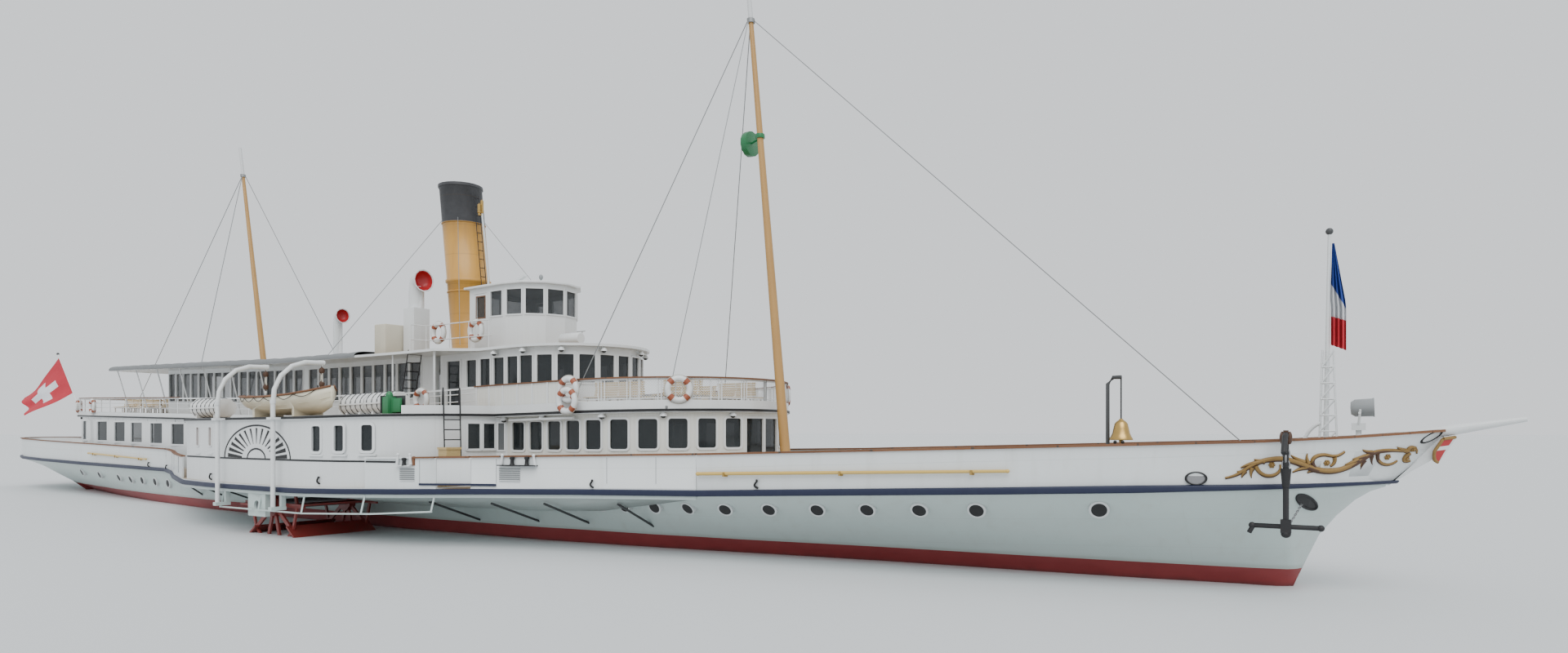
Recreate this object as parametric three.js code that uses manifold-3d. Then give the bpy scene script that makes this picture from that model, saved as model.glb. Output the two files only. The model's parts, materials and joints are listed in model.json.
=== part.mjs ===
import * as THREE from 'three';
import { mergeVertices } from 'three/addons/utils/BufferGeometryUtils.js';
import Module from 'manifold-3d';

// Lengths are metres on the real boat. The group's scale turns them into millimetres at 1:2.
// +X is forward, +Y port and +Z up. The origin is at the waterline, amidships under the paddle shaft.
const millimetres = 500;
const seat = 0.0006;

const wasm = await Module();
wasm.setup();

const boat = new THREE.Group();
boat.name = 'paddle_steamer';
boat.scale.setScalar(millimetres);

function toManifold(geometry) {
  const bare = new THREE.BufferGeometry();
  bare.setAttribute('position', geometry.getAttribute('position').clone());
  if (geometry.index) bare.setIndex(geometry.index.clone());
  const merged = mergeVertices(bare, 2e-5);
  const faces = [];
  const index = merged.index.array;
  for (let i = 0; i < index.length; i += 3) {
    const [a, b, c] = [index[i], index[i + 1], index[i + 2]];
    if (a !== b && b !== c && c !== a) faces.push(a, b, c);
  }
  const made = new wasm.Manifold(new wasm.Mesh({
    numProp: 3,
    vertProperties: new Float32Array(merged.getAttribute('position').array),
    triVerts: new Uint32Array(faces),
  }));
  if (made.volume() >= 0) return made;
  for (let i = 0; i < faces.length; i += 3) [faces[i + 1], faces[i + 2]] = [faces[i + 2], faces[i + 1]];
  return new wasm.Manifold(new wasm.Mesh({
    numProp: 3,
    vertProperties: new Float32Array(merged.getAttribute('position').array),
    triVerts: new Uint32Array(faces),
  }));
}

function fromManifold(made) {
  const mesh = made.getMesh();
  const geometry = new THREE.BufferGeometry();
  geometry.setAttribute('position', new THREE.BufferAttribute(new Float32Array(mesh.vertProperties), 3));
  geometry.setIndex(new THREE.BufferAttribute(new Uint32Array(mesh.triVerts), 1));
  return geometry;
}

function toClean(geometry) {
  return fromManifold(toManifold(geometry));
}

function fuse(...pieces) {
  return fromManifold(pieces.map(toManifold).reduce((all, next) => all.add(next)));
}

function cut(body, ...tools) {
  return fromManifold(tools.map(toManifold).reduce((rest, next) => rest.subtract(next), toManifold(body)));
}

// The main deck and the promenade deck rise toward both ends, each at its own slope.
const mainRise = (x) => {
  if (x > 14.4) return 0.217 + 0.037 * (x - 14.4);
  if (x > 2) return 0.0175 * (x - 2);
  return x < -6 ? 0.009 * (-6 - x) : 0;
};
const upperRise = (x) => {
  if (x > 2) return 0.0175 * (x - 2);
  return x < -6 ? 0.0195 * (-6 - x) : 0;
};
const mainDeck = 1.55;
const promenade = 3.56;

// Splits each face that crosses the plane at x, so that a long wall can bend there.
function splitAt(geometry, x) {
  const spots = Array.from(geometry.getAttribute('position').array);
  const faces = [];
  const made = new Map();
  const place = (v) => Math.sign(Math.round((spots[3 * v] - x) * 1e5));
  const between = (a, b) => {
    const key = a < b ? `${a} ${b}` : `${b} ${a}`;
    if (!made.has(key)) {
      const share = (x - spots[3 * a]) / (spots[3 * b] - spots[3 * a]);
      const along = (k) => spots[3 * a + k] + (spots[3 * b + k] - spots[3 * a + k]) * share;
      [1, 2].forEach((k) => made.set(`${key} ${k}`, along(k)));
      made.set(key, spots.length / 3);
      spots.push(x, made.get(`${key} 1`), made.get(`${key} 2`));
    }
    return made.get(key);
  };
  const index = geometry.index.array;
  for (let i = 0; i < index.length; i += 3) {
    const face = [index[i], index[i + 1], index[i + 2]];
    const kinds = face.map(place);
    if (!kinds.includes(1) || !kinds.includes(-1)) {
      faces.push(...face);
    } else {
      const loop = face.flatMap((v, k) => {
        const next = (k + 1) % 3;
        return kinds[k] * kinds[next] < 0 ? [v, between(v, face[next])] : [v];
      });
      [-1, 1].forEach((side) => {
        const part = loop.filter((v) => place(v) * side >= 0);
        for (let k = 1; k + 1 < part.length; k += 1) faces.push(part[0], part[k], part[k + 1]);
      });
    }
  }
  const split = new THREE.BufferGeometry();
  split.setAttribute('position', new THREE.Float32BufferAttribute(spots, 3));
  split.setIndex(faces);
  return split;
}

// Heights are given as if amidships, and each vertex is lifted by the decks' rise at its place.
const deckBends = [-6, 2, 14.4];
function lift(flatBuilt) {
  const geometry = deckBends.reduce(splitAt, toClean(flatBuilt));
  const spots = geometry.getAttribute('position');
  for (let i = 0; i < spots.count; i += 1) {
    const x = spots.getX(i);
    const z = spots.getZ(i);
    const share = THREE.MathUtils.clamp((z - mainDeck) / (promenade - mainDeck), 0, 1);
    spots.setZ(i, z + mainRise(x) + (upperRise(x) - mainRise(x)) * share);
  }
  return geometry;
}

function add(name, geometry) {
  const mesh = new THREE.Mesh(toClean(geometry));
  mesh.name = name;
  boat.add(mesh);
}

const sides = [
  { side: 'starboard', sign: -1 },
  { side: 'port', sign: 1 },
];

function box(x0, x1, y0, y1, z0, z1) {
  const made = new THREE.BoxGeometry(Math.abs(x1 - x0), Math.abs(y1 - y0), Math.abs(z1 - z0));
  return made.translate((x0 + x1) / 2, (y0 + y1) / 2, (z0 + z1) / 2);
}

// A closed skin through rings that all have the same number of points, with flat ends.
function loft(rings) {
  const spots = [];
  const faces = [];
  const count = rings[0].length;
  rings.forEach((ring) => ring.forEach((point) => spots.push(...point)));
  for (let r = 0; r + 1 < rings.length; r += 1) {
    for (let i = 0; i < count; i += 1) {
      const j = (i + 1) % count;
      const [a, b, c, d] = [r * count + i, r * count + j, (r + 1) * count + j, (r + 1) * count + i];
      faces.push(a, b, c, a, c, d);
    }
  }
  // Each end cap runs with or against its ring, whichever closes the skin.
  const close = (ring, first, against) => {
    const flat = flatten(ring);
    const ringTurn = Math.sign(THREE.ShapeUtils.area(flat));
    THREE.ShapeUtils.triangulateShape(flat, []).forEach(([a, b, c]) => {
      const turn = Math.sign(THREE.ShapeUtils.area([flat[a], flat[b], flat[c]]));
      if ((turn === ringTurn) === against) faces.push(first + a, first + c, first + b);
      else faces.push(first + a, first + b, first + c);
    });
  };
  close(rings[0], 0, true);
  close(rings[rings.length - 1], (rings.length - 1) * count, false);
  const geometry = new THREE.BufferGeometry();
  geometry.setAttribute('position', new THREE.Float32BufferAttribute(spots, 3));
  geometry.setIndex(faces);
  return geometry;
}

function flatten(ring) {
  const reach = (k, pick) => pick(...ring.map((p) => p[k]));
  const span = [0, 1, 2].map((k) => reach(k, Math.max) - reach(k, Math.min));
  const drop = span.indexOf(Math.min(...span));
  const [u, v] = [0, 1, 2].filter((k) => k !== drop);
  return ring.map((p) => new THREE.Vector2(p[u], p[v]));
}

// A flat outline raised from z0 to z1. The outline is a list of [x, y].
function slab(outline, z0, z1) {
  return loft([outline.map(([x, y]) => [x, y, z0]), outline.map(([x, y]) => [x, y, z1])]);
}

// A deck plate with stations along x, each a [x, half breadth]. It bends where the decks' rise bends.
function plate(stations, z0, z1) {
  return loft(stations.map(([x, y]) => [[x, -y, z0], [x, y, z0], [x, y, z1], [x, -y, z1]]));
}

function rod(from, to, radius, sidesRound = 8, endRadius = radius) {
  const start = new THREE.Vector3(...from);
  const end = new THREE.Vector3(...to);
  const made = new THREE.CylinderGeometry(endRadius, radius, start.distanceTo(end), sidesRound);
  const along = end.clone().sub(start).normalize();
  const turn = new THREE.Quaternion().setFromUnitVectors(new THREE.Vector3(0, 1, 0), along);
  const middle = start.clone().add(end).multiplyScalar(0.5);
  return made.applyQuaternion(turn).translate(middle.x, middle.y, middle.z);
}

// A tube along a bent path with mitred corners. The path may close on itself.
function tube(path, radius, sidesRound = 6, closed = false, turn = 0) {
  const points = path.map((p) => new THREE.Vector3(...p));
  const count = points.length;
  const up = new THREE.Vector3(0, 0, 1);
  const rings = points.map((here, i) => {
    const before = points[closed ? (i + count - 1) % count : Math.max(i - 1, 0)];
    const after = points[closed ? (i + 1) % count : Math.min(i + 1, count - 1)];
    const into = here.clone().sub(before).normalize();
    const out = after.clone().sub(here).normalize();
    if (into.lengthSq() === 0) into.copy(out);
    if (out.lengthSq() === 0) out.copy(into);
    const along = into.clone().add(out).normalize();
    const flat = Math.abs(along.z) > 0.9 ? new THREE.Vector3(1, 0, 0) : up;
    const across = new THREE.Vector3().crossVectors(flat, along).normalize();
    const rise = new THREE.Vector3().crossVectors(along, across).normalize();
    const miter = 1 / Math.max(0.35, along.dot(into));
    return Array.from({ length: sidesRound }, (_, k) => {
      const angle = turn + (k / sidesRound) * Math.PI * 2;
      const spot = here.clone();
      spot.addScaledVector(across, Math.cos(angle) * radius * miter);
      spot.addScaledVector(rise, Math.sin(angle) * radius);
      return spot.toArray();
    });
  });
  if (!closed) return loft(rings);
  const geometry = loft([...rings, rings[0]]);
  const keep = sidesRound * count * 6;
  geometry.setIndex(Array.from(geometry.index.array).slice(0, keep));
  return geometry;
}

const mirrorY = (geometry) => {
  const turned = geometry.clone().scale(1, -1, 1);
  return fromManifold(toManifold(turned));
};

// A circle of points round a centre, square to a direction.
function ringAt(centre, direction, radius, count) {
  const along = new THREE.Vector3(...direction).normalize();
  const turn = new THREE.Quaternion().setFromUnitVectors(new THREE.Vector3(0, 0, 1), along);
  return Array.from({ length: count }, (_, k) => {
    const angle = (k / count) * Math.PI * 2;
    const spot = new THREE.Vector3(Math.cos(angle) * radius, Math.sin(angle) * radius, 0);
    spot.applyQuaternion(turn);
    return [spot.x + centre[0], spot.y + centre[1], spot.z + centre[2]];
  });
}

const bowspritZ = (x) => 2.946 + 0.1785 * (x - 27.9);

// Hull
// Half breadth of the main deck's edge, with the sponsons, at each x.
const edgeTable = [
  { x: -37.95, edge: 0.02 },
  { x: -37.6, edge: 1.1 },
  { x: -36.5, edge: 1.95 },
  { x: -34, edge: 2.6 },
  { x: -30, edge: 3.02 },
  { x: -24, edge: 3.36 },
  { x: -18, edge: 3.52 },
  { x: -14.5, edge: 3.62 },
  { x: -12, edge: 4.42 },
  { x: -9, edge: 5.58 },
  { x: -7.2, edge: 6.2 },
  { x: -6, edge: 6.6 },
  { x: -5.2, edge: 6.85 },
  { x: -2.5, edge: 7.15 },
  { x: 2, edge: 7.15 },
  { x: 2.5, edge: 7.15 },
  { x: 4, edge: 6.95 },
  { x: 6, edge: 6.4 },
  { x: 8, edge: 5.6 },
  { x: 11, edge: 4.75 },
  { x: 14.4, edge: 4.15 },
  { x: 18, edge: 3.66 },
  { x: 21.5, edge: 3.15 },
  { x: 24, edge: 2.6 },
  { x: 26, edge: 1.95 },
  { x: 26.6, edge: 1.65 },
  { x: 27.3, edge: 1.12 },
  { x: 27.9, edge: 0.5 },
  { x: 28.2, edge: 0.05 },
];

function edgeAt(x) {
  const next = Math.max(1, edgeTable.findIndex((row) => row.x >= x));
  const [a, b] = [edgeTable[next - 1], edgeTable[next]];
  return a.edge + ((b.edge - a.edge) * (x - a.x)) / (b.x - a.x);
}

// Hull stations: the keel's height, half breadths at the waterline and the deck, and how full each half is.
const hullTable = [
  { x: -37.6, keel: 1.66, water: 0, bilge: 1.5, flare: 0.6 },
  { x: -36.5, keel: 1.5, water: 0, bilge: 1.5, flare: 0.55 },
  { x: -34, keel: 1.08, water: 0, bilge: 1.5, flare: 0.5 },
  { x: -32.4, keel: 0.68, water: 0, bilge: 1.5, flare: 0.5 },
  { x: -30.6, keel: 0.11, water: 0, bilge: 1.5, flare: 0.5 },
  { x: -30.04, keel: -0.02, water: 0.05, bilge: 1.3, flare: 0.52 },
  { x: -30, keel: -1.5, water: 0.12, bilge: 1.1, flare: 0.52 },
  { x: -27, keel: -1.6, water: 1.0, bilge: 1.2, flare: 0.6 },
  { x: -24, keel: -1.6, water: 1.7, bilge: 1.5, flare: 0.7 },
  { x: -18, keel: -1.6, water: 2.7, bilge: 2.2, flare: 0.8 },
  { x: -12, keel: -1.6, water: 3.25, bilge: 2.8, flare: 1 },
  { x: -6, keel: -1.6, water: 3.42, bilge: 3.2, flare: 1 },
  { x: 2, keel: -1.6, water: 3.4, bilge: 3.2, flare: 1 },
  { x: 8, keel: -1.6, water: 3.0, bilge: 2.7, flare: 1 },
  { x: 12, keel: -1.6, water: 2.4, bilge: 2.2, flare: 1.1 },
  { x: 14.4, keel: -1.6, water: 1.95, bilge: 1.9, flare: 1.15 },
  { x: 18, keel: -1.58, water: 1.3, bilge: 1.5, flare: 1.1 },
  { x: 21.5, keel: -1.54, water: 0.82, bilge: 1.3, flare: 1 },
  { x: 24, keel: -1.48, water: 0.45, bilge: 1.2, flare: 0.95 },
  { x: 25.3, keel: -1.27, water: 0.26, bilge: 1.15, flare: 0.92 },
  { x: 26, keel: -0.9, water: 0.14, bilge: 1.1, flare: 0.9 },
  { x: 26.45, keel: -0.24, water: 0.04, bilge: 1.1, flare: 0.9 },
  { x: 26.6, keel: 0.14, water: 0, bilge: 1.1, flare: 0.9 },
  { x: 26.8, keel: 0.62, water: 0, bilge: 1.1, flare: 0.88 },
  { x: 27, keel: 1.08, water: 0, bilge: 1.1, flare: 0.85 },
  { x: 27.3, keel: 1.48, water: 0, bilge: 1.1, flare: 0.82 },
  { x: 27.6, keel: 1.79, water: 0, bilge: 1.1, flare: 0.8 },
  { x: 27.85, keel: 1.97, water: 0, bilge: 1.1, flare: 0.8 },
  { x: 28.1, keel: 2.07, water: 0, bilge: 1.1, flare: 0.8 },
];
// Between the sponsons' ends the hull's own side stands inboard of the deck's edge.
const hullSide = (x) => (x > 8 ? 3.62 + (x - 8) * 0.0775 : 3.62);
const overSponson = (x) => x > -14.4 && x < 14.5;
const hullDeck = (x) => (overSponson(x) ? Math.min(hullSide(x), edgeAt(x) - 0.02) : edgeAt(x) - 0.02);
const levels = [0.02, 0.08, 0.2, 0.36, 0.54, 0.68, 0.84, 1];
const planksTop = 1.5;

function hullHalf({ x, keel, water, bilge, flare }) {
  const row = { x, keel, water, bilge, flare, deck: hullDeck(x) };
  const top = 1.36 + mainRise(x);
  const half = levels.map((share) => {
    const z = row.keel + (top - row.keel) * share;
    if (row.keel >= 0) return [row.deck * share ** row.flare, z];
    if (z <= 0) return [row.water * (1 - (z / row.keel) ** row.bilge) ** (1 / row.bilge), z];
    return [row.water + (row.deck - row.water) * (z / top) ** row.flare, z];
  });
  half.push([row.deck, planksTop + mainRise(row.x)]);
  return half;
}

const hullRings = hullTable.map((row) => {
  const half = hullHalf(row);
  const left = half.map(([y, z]) => [row.x, -y, z]).reverse();
  return [[row.x, 0, row.keel], ...half.map(([y, z]) => [row.x, y, z]), ...left];
});

// A thin wall that follows the deck's edge in plan. Rows give x, its y, and the heights of its foot and top.
function edgeWall(rows, thick) {
  return loft(rows.map(({ x, y, foot, top, inX = 0 }) => {
    const inY = y > 0 ? y - thick : y + thick;
    return [[x, y, foot], [x, y, top], [x + inX, inY, top], [x + inX, inY, foot]];
  }));
}

const bulwarkTable = [
  { x: -37.95, top: 2.76 },
  { x: -26, top: 2.58 },
  { x: -11, top: 2.31 },
  { x: -6, top: 2.27 },
  { x: 6, top: 2.4 },
  { x: 14.4, top: 2.57 },
  { x: 21.5, top: 2.78 },
  { x: 26, top: 2.92 },
  { x: 28.1, top: 3.04 },
  { x: 28.7, top: 3.12 },
];

function bulwarkTop(x) {
  const next = Math.max(1, bulwarkTable.findIndex((row) => row.x >= x));
  const [a, b] = [bulwarkTable[next - 1], bulwarkTable[next]];
  return a.top + ((b.top - a.top) * (x - a.x)) / (b.x - a.x);
}

const plating = 0.06;

// Bulwark around an end of the hull, from one side round to the other. It leans out at its top, and at
// the bow it rakes forward too.
function endBulwark(stations, lean, tipFoot, tipTop, inward) {
  const port = stations.map(({ x, within = 0.03, rake = 0 }) => {
    const y = edgeAt(x) - within;
    const foot = planksTop - 0.1 + mainRise(x);
    const top = bulwarkTop(x + rake);
    const out = y + lean(x);
    return [[x, y, foot], [x + rake, out, top], [x + rake, out - plating, top], [x, y - plating, foot]];
  });
  const tip = [tipFoot, tipTop, [tipTop[0] + inward, 0, tipTop[2]], [tipFoot[0] + inward, 0, tipFoot[2]]];
  const starboard = port.map((ring) => ring.map(([x, y, z]) => [x, -y, z])).reverse();
  return loft([...port, tip, ...starboard]);
}

const aftStations = [-14.41, -14.5, -18, -24, -30, -34, -36.5, -37.4].map((x) => ({ x }));
const foreStations = [
  ...[14.4, 18, 21.5, 24, 26, 26.6].map((x) => ({ x })),
  { x: 27.3, within: 0.08, rake: 0.2 },
  { x: 27.9, within: 0.1, rake: 0.5 },
];
const aftBulwark = endBulwark(aftStations, () => 0.06, [-37.62, 0, 1.7], [-37.97, 0, 2.76], 0.12);
const foreLean = (x) => 0.04 + 0.02 * Math.max(0, x - 20);
const foreBulwark = endBulwark(foreStations, foreLean, [28.16, 0, 2.1], [29.1, 0, 3.14], -0.16);

const pocket = { x0: -6.4, x1: 5.8, half: 2.3, floor: -1.15 };
const shaft = { z: 0.92, radius: 0.15, bearing: 0.1513, reach: 7.06, bore: 0.19 };
const rudderStock = { x: -30.45, radius: 0.07, bore: 0.1 };

const hull = cut(
  fuse(loft(hullRings), aftBulwark, foreBulwark, box(-30.95, -27.5, -0.09, 0.09, -1.72, -1.56)),
  box(pocket.x0, pocket.x1, -pocket.half, pocket.half, pocket.floor, 2.4),
  rod([0, -5, shaft.z], [0, 5, shaft.z], shaft.bore, 16),
  rod([rudderStock.x, 0, -0.4], [rudderStock.x, 0, 1.1], rudderStock.bore, 12),
  loft([27.6, 30.4].map((x) => ringAt([x, 0, bowspritZ(x)], [1, 0, 0.1785], 0.1013, 10))),
);
add('hull', hull);

// Planked main deck over the hull in three lengths. The middle one is open above the engine.
const engineWell = { x0: -5.6, x1: -0.9, half: 1.2 };
const deckHalf = (x) => (x > -14.6 && x < 14.4 ? hullSide(x) - 0.03 : edgeAt(x) - 0.16);
const planks = (stations) => plate(stations.map((x) => [x, deckHalf(x)]), planksTop + seat, mainDeck);
const wellHole = box(engineWell.x0 - 0.1, engineWell.x1, -engineWell.half, engineWell.half, 1, 2);
add('main_deck_aft', lift(planks([-36.4, -34, -30, -24, -18, -14.6, -6, engineWell.x0])));
add('main_deck_middle', lift(cut(planks([engineWell.x0 + seat, 2, 8, 14.39]), wellHole)));
add('main_deck_fore', lift(planks([14.4, 18, 21.5, 24, 26, 26.6, 27.2])));

// Sponsons
const wheelWell = { x: 2.28, inner: 3.72, outer: 6.98 };
const sponsonStations = [-14.4, -12, -9, -7.2, -6, -5.2, -2.5, 2, 2.5, 4, 6, 8, 11, 14.39];
const bracketFoot = 0.8;
const davits = [{ place: 'aft', x: -1.9 }, { place: 'fore', x: 1.36 }];
const davitFoot = 0.95;
const davitAxis = 7.34;

function sponson(sign) {
  const rings = sponsonStations.map((x) => {
    const inner = hullSide(x) + 0.002;
    const outer = edgeAt(x) + 0.002;
    const under = Math.max(1.34 - (outer - inner) * 0.5, bracketFoot) + mainRise(x);
    const rim = planksTop - 0.22 + mainRise(x);
    const top = mainDeck + mainRise(x);
    return [[x, inner, under], [x, inner + (outer - inner) * 0.55, (under * 0.35 + rim * 0.65)],
      [x, outer, rim], [x, outer, top], [x, inner, top]];
  });
  const wall = (stations) => edgeWall(stations.map((x) => (
    { x, y: edgeAt(x) - 0.002, foot: planksTop + 0.01 + mainRise(x), top: bulwarkTop(x) })), plating);
  const strutTable = [
    { x: -2.0, y: 7.1, low: 0.8, high: 1.4 },
    { x: 0.25, y: 7.1, low: 0.8, high: 1.4 },
    { x: 2.6, y: 7.1, low: 0.82, high: 1.4 },
    { x: 4.9, y: 6.72, low: 0.9, high: 1.39 },
    { x: 6.95, y: 6.0, low: 1.0, high: 1.43 },
  ];
  const guardRail = [[-2.05, 7.2, 0.8], [2.6, 7.2, 0.82], [5.2, 6.75, 0.9], [7.0, 6.1, 1.0]];
  const body = fuse(
    loft(rings),
    wall([-14.4, -12, -9, -7.2, -6]),
    wall([4.9, 6, 8, 11, 14.39]),
    box(-0.5, 0.5, wheelWell.outer - 0.02, 7.12, 0.6, 1.4),
    ...davits.map(({ x }) => box(x - 0.09, x + 0.09, 7.0, 7.43, davitFoot - 0.1, davitFoot - seat)),
    ...davits.map(({ x }) => box(x - 0.06, x + 0.06, 7.0, 7.13, davitFoot - 0.1, 1.4)),
    tube(guardRail, 0.03, 4, false, Math.PI / 4),
    ...strutTable.map(({ x, y, low, high }) => rod([x, y + 0.1, low - 0.02], [x, y - 0.02, high], 0.03, 4)),
  );
  const gateGap = box(gate.x0, gate.x1, 4.5, 7, mainDeck + 0.06, 3);
  const opened = cut(
    body,
    box(-wheelWell.x, wheelWell.x, 3, wheelWell.outer, 0, 3),
    rod([0, 6, shaft.z], [0, 8, shaft.z], shaft.bearing, 32),
    gateGap,
  );
  return sign > 0 ? opened : mirrorY(opened);
}

const gate = { x0: 7.0, x1: 7.96 };
sides.forEach(({ side, sign }) => add('sponson_' + side, sponson(sign)));

// Gangway gates close the gap in each sponson's bulwark, hinged at their forward edge.
sides.forEach(({ side, sign }) => {
  const rows = [gate.x0 + 0.035, gate.x1 - seat].map((x) => ({
    x, y: edgeAt(x) - 0.004, foot: mainDeck + 0.08 + mainRise(x), top: bulwarkTop(x),
  }));
  const leaf = edgeWall(rows, 0.05);
  add('gangway_gate_' + side, sign > 0 ? toClean(leaf) : mirrorY(leaf));
});

// Rubbing strake all round at the main deck's edge. It thins toward the stem.
const strakeRows = edgeTable.filter((row) => row.x > -37.9 && row.x < 28.1).map((row) => [row.x, row.edge]);
const strakeZ = (x) => 1.44 + mainRise(x);
const strakeIn = 0.003;
const strakeOut = (x) => (x > 24 ? 0.085 - 0.009 * (x - 24) : 0.085);
const strakeHalf = (x) => (x > 24 ? 0.08 - 0.011 * (x - 24) : 0.08);

function strake() {
  const port = strakeRows.map(([x, y], i) => {
    const before = strakeRows[Math.max(0, i - 1)];
    const after = strakeRows[Math.min(strakeRows.length - 1, i + 1)];
    const along = new THREE.Vector2(after[0] - before[0], after[1] - before[1]).normalize();
    const [nx, ny] = [-along.y, along.x];
    const z = strakeZ(x);
    const ring = (offset, height) => [x + nx * offset, y + ny * offset, z + height];
    const [out, half] = [strakeOut(x), strakeHalf(x)];
    return [ring(strakeIn, -half), ring(out, 0.02 - half), ring(out, half - 0.02), ring(strakeIn, half)];
  });
  const starboard = port.map((ring) => ring.map(([x, y, z]) => [x, -y, z])).reverse();
  const bow = [[28.25, 0, 2.13], [28.3, 0, 2.145], [28.33, 0, 2.19], [28.29, 0, 2.205]];
  const stern = [[-37.76, 0, 1.64], [-37.86, 0, 1.66], [-37.9, 0, 1.78], [-37.82, 0, 1.8]];
  const rings = [...port, bow, ...starboard, stern];
  const geometry = loft([...rings, rings[0]]);
  geometry.setIndex(Array.from(geometry.index.array).slice(0, rings.length * 4 * 6));
  return geometry;
}
add('rubbing_strake', toClean(strake()));

// Paddle boxes
const shell = 0.06;
const boxFoot = mainDeck + seat;
const deckUnder = promenade - 0.1;

// Moves each corner of a closed outline inward by the same distance.
function inset(outline, distance) {
  const turn = Math.sign(THREE.ShapeUtils.area(outline.map(([x, y]) => new THREE.Vector2(x, y))));
  return outline.map((here, i) => {
    const before = outline[(i + outline.length - 1) % outline.length];
    const after = outline[(i + 1) % outline.length];
    const into = new THREE.Vector2(here[0] - before[0], here[1] - before[1]).normalize();
    const out = new THREE.Vector2(after[0] - here[0], after[1] - here[1]).normalize();
    const inward = [into, out].map((d) => new THREE.Vector2(-d.y * turn, d.x * turn));
    const middle = inward[0].clone().add(inward[1]).normalize();
    const reach = distance / Math.max(0.2, middle.dot(inward[0]));
    return [here[0] + middle.x * reach, here[1] + middle.y * reach];
  });
}

// Walls of one thickness round a closed outline.
function walls(outline, z0, z1, thick = shell) {
  return cut(slab(outline, z0, z1), slab(inset(outline, thick), z0 - 1, z1 + 1));
}

// A flat shape in the x-z plane, pushed through from y0 to y1.
function pushY(shape, y0, y1) {
  return loft([shape.map(([x, z]) => [x, y0, z]), shape.map(([x, z]) => [x, y1, z])]);
}

const boxLine = [
  [-5.9, 3.72], [-5.9, 6.35], [-5.7, 6.56], [-5.2, 6.79], [-2.5, 7.09], [2.5, 7.09], [4, 6.89], [4.8, 6.6],
  [5.5, 6.12], [6.1, 5.45], [6.5, 4.65], [6.65, 3.72],
];
const fan = { x: -0.08, z: 2.31, halfWidth: 1.94, height: 1.03, slots: 15 };

function paddleBox() {
  const across = (x) => box(x - 0.03, x + 0.03, 3.75, 7.05, boxFoot, deckUnder - seat);
  const ends = [-1, 1].map((end) => across(end * (wheelWell.x + 0.1)));
  const body = fuse(walls(boxLine, boxFoot, deckUnder - seat), ...ends);
  const slots = Array.from({ length: fan.slots }, (_, i) => {
    const angle = (Math.PI * (i + 0.5)) / fan.slots;
    const [along, rise] = [Math.cos(angle), Math.sin(angle)];
    const spot = (share, off) => [
      fan.x + fan.halfWidth * along * share - rise * off,
      fan.z + fan.height * rise * share + along * off,
    ];
    return pushY([spot(0.44, -0.025), spot(0.9, -0.065), spot(0.9, 0.065), spot(0.44, 0.025)], 6.7, 7.4);
  });
  const windows = [{ x: 3.06, half: 0.18 }, { x: 3.98, half: 0.18 }, { x: 4.82, half: 0.16 }].map(
    ({ x, half }) => box(x - half, x + half, 6.2, 7.4, 2.55, 3.27));
  const vents = [-4.14, -3.04].map((x) => box(x - 0.11, x + 0.11, 6.3, 7.4, 2.67, 3.27));
  const doorways = [-4.8, 5].map((x) => box(x - 0.4, x + 0.4, 3.6, 3.9, mainDeck + 0.15, 3.3));
  return lift(cut(body, ...slots, ...windows, ...vents, ...doorways));
}
sides.forEach(({ side, sign }) => add('paddle_box_' + side, sign > 0 ? paddleBox() : mirrorY(paddleBox())));

// Paddle wheels and shaft
const wheel = { radius: 1.76, rim: 1.3, arms: 10, inner: 4.3, outer: 6.6, hub: 0.36 };
add('paddle_shaft', rod([0, -shaft.reach, shaft.z], [0, shaft.reach, shaft.z], shaft.radius, 32));

// One copy of a shape at each arm of the wheel.
const spread = (shape) => Array.from({ length: wheel.arms }, (_, i) => (
  shape.clone().rotateY((i * 2 * Math.PI) / wheel.arms)));

function paddleWheel() {
  const frames = [wheel.inner, wheel.outer].map((y) => {
    const arm = box(0.2, wheel.radius - 0.08, y - 0.03, y + 0.03, -0.06, 0.06);
    const arms = spread(arm);
    const rimPath = Array.from({ length: wheel.arms }, (_, i) => {
      const angle = (i * 2 * Math.PI) / wheel.arms;
      return [Math.cos(angle) * wheel.rim, y, -Math.sin(angle) * wheel.rim];
    });
    const rim = ringBars(rimPath, 0.045);
    return [rod([0, y - 0.1, 0], [0, y + 0.1, 0], wheel.hub, 12), ...arms, rim];
  });
  const float = box(1.12, wheel.radius, wheel.inner - 0.14, wheel.outer + 0.14, 0.02, 0.075);
  const whole = fuse(...frames.flat(), ...spread(float));
  return cut(whole, rod([0, 3, 0], [0, 8, 0], shaft.radius + seat, 32)).translate(0, 0, shaft.z);
}

// A ring of straight bars between neighbouring points in the x-z plane.
function ringBars(path, half) {
  return path.map((here, i) => {
    const next = path[(i + 1) % path.length];
    const middle = [(here[0] + next[0]) / 2, here[1], (here[2] + next[2]) / 2];
    const [dx, dz] = [next[0] - here[0], next[2] - here[2]];
    const reach = Math.hypot(dx, dz) / 2 + 0.01;
    const bar = box(-reach, reach, -0.028, 0.028, -half, half);
    return bar.rotateY(-Math.atan2(dz, dx)).translate(...middle);
  }).reduce((all, next) => fuse(all, next));
}
sides.forEach(({ side, sign }) => {
  add('paddle_wheel_' + side, sign > 0 ? paddleWheel() : mirrorY(paddleWheel()));
});

// Rudder
const blade = [
  [-30.16, -1.5], [-32.25, -1.45], [-32.56, -1.2], [-32.58, 0.2], [-32.4, 0.45], [-31.9, 0.4], [-30.9, 0],
  [-30.16, -0.2],
];
add('rudder', fuse(
  pushY(blade, -0.04, 0.04),
  rod([rudderStock.x, 0, -1.56 + seat], [rudderStock.x, 0, 1.0], rudderStock.radius, 12),
));

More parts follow.
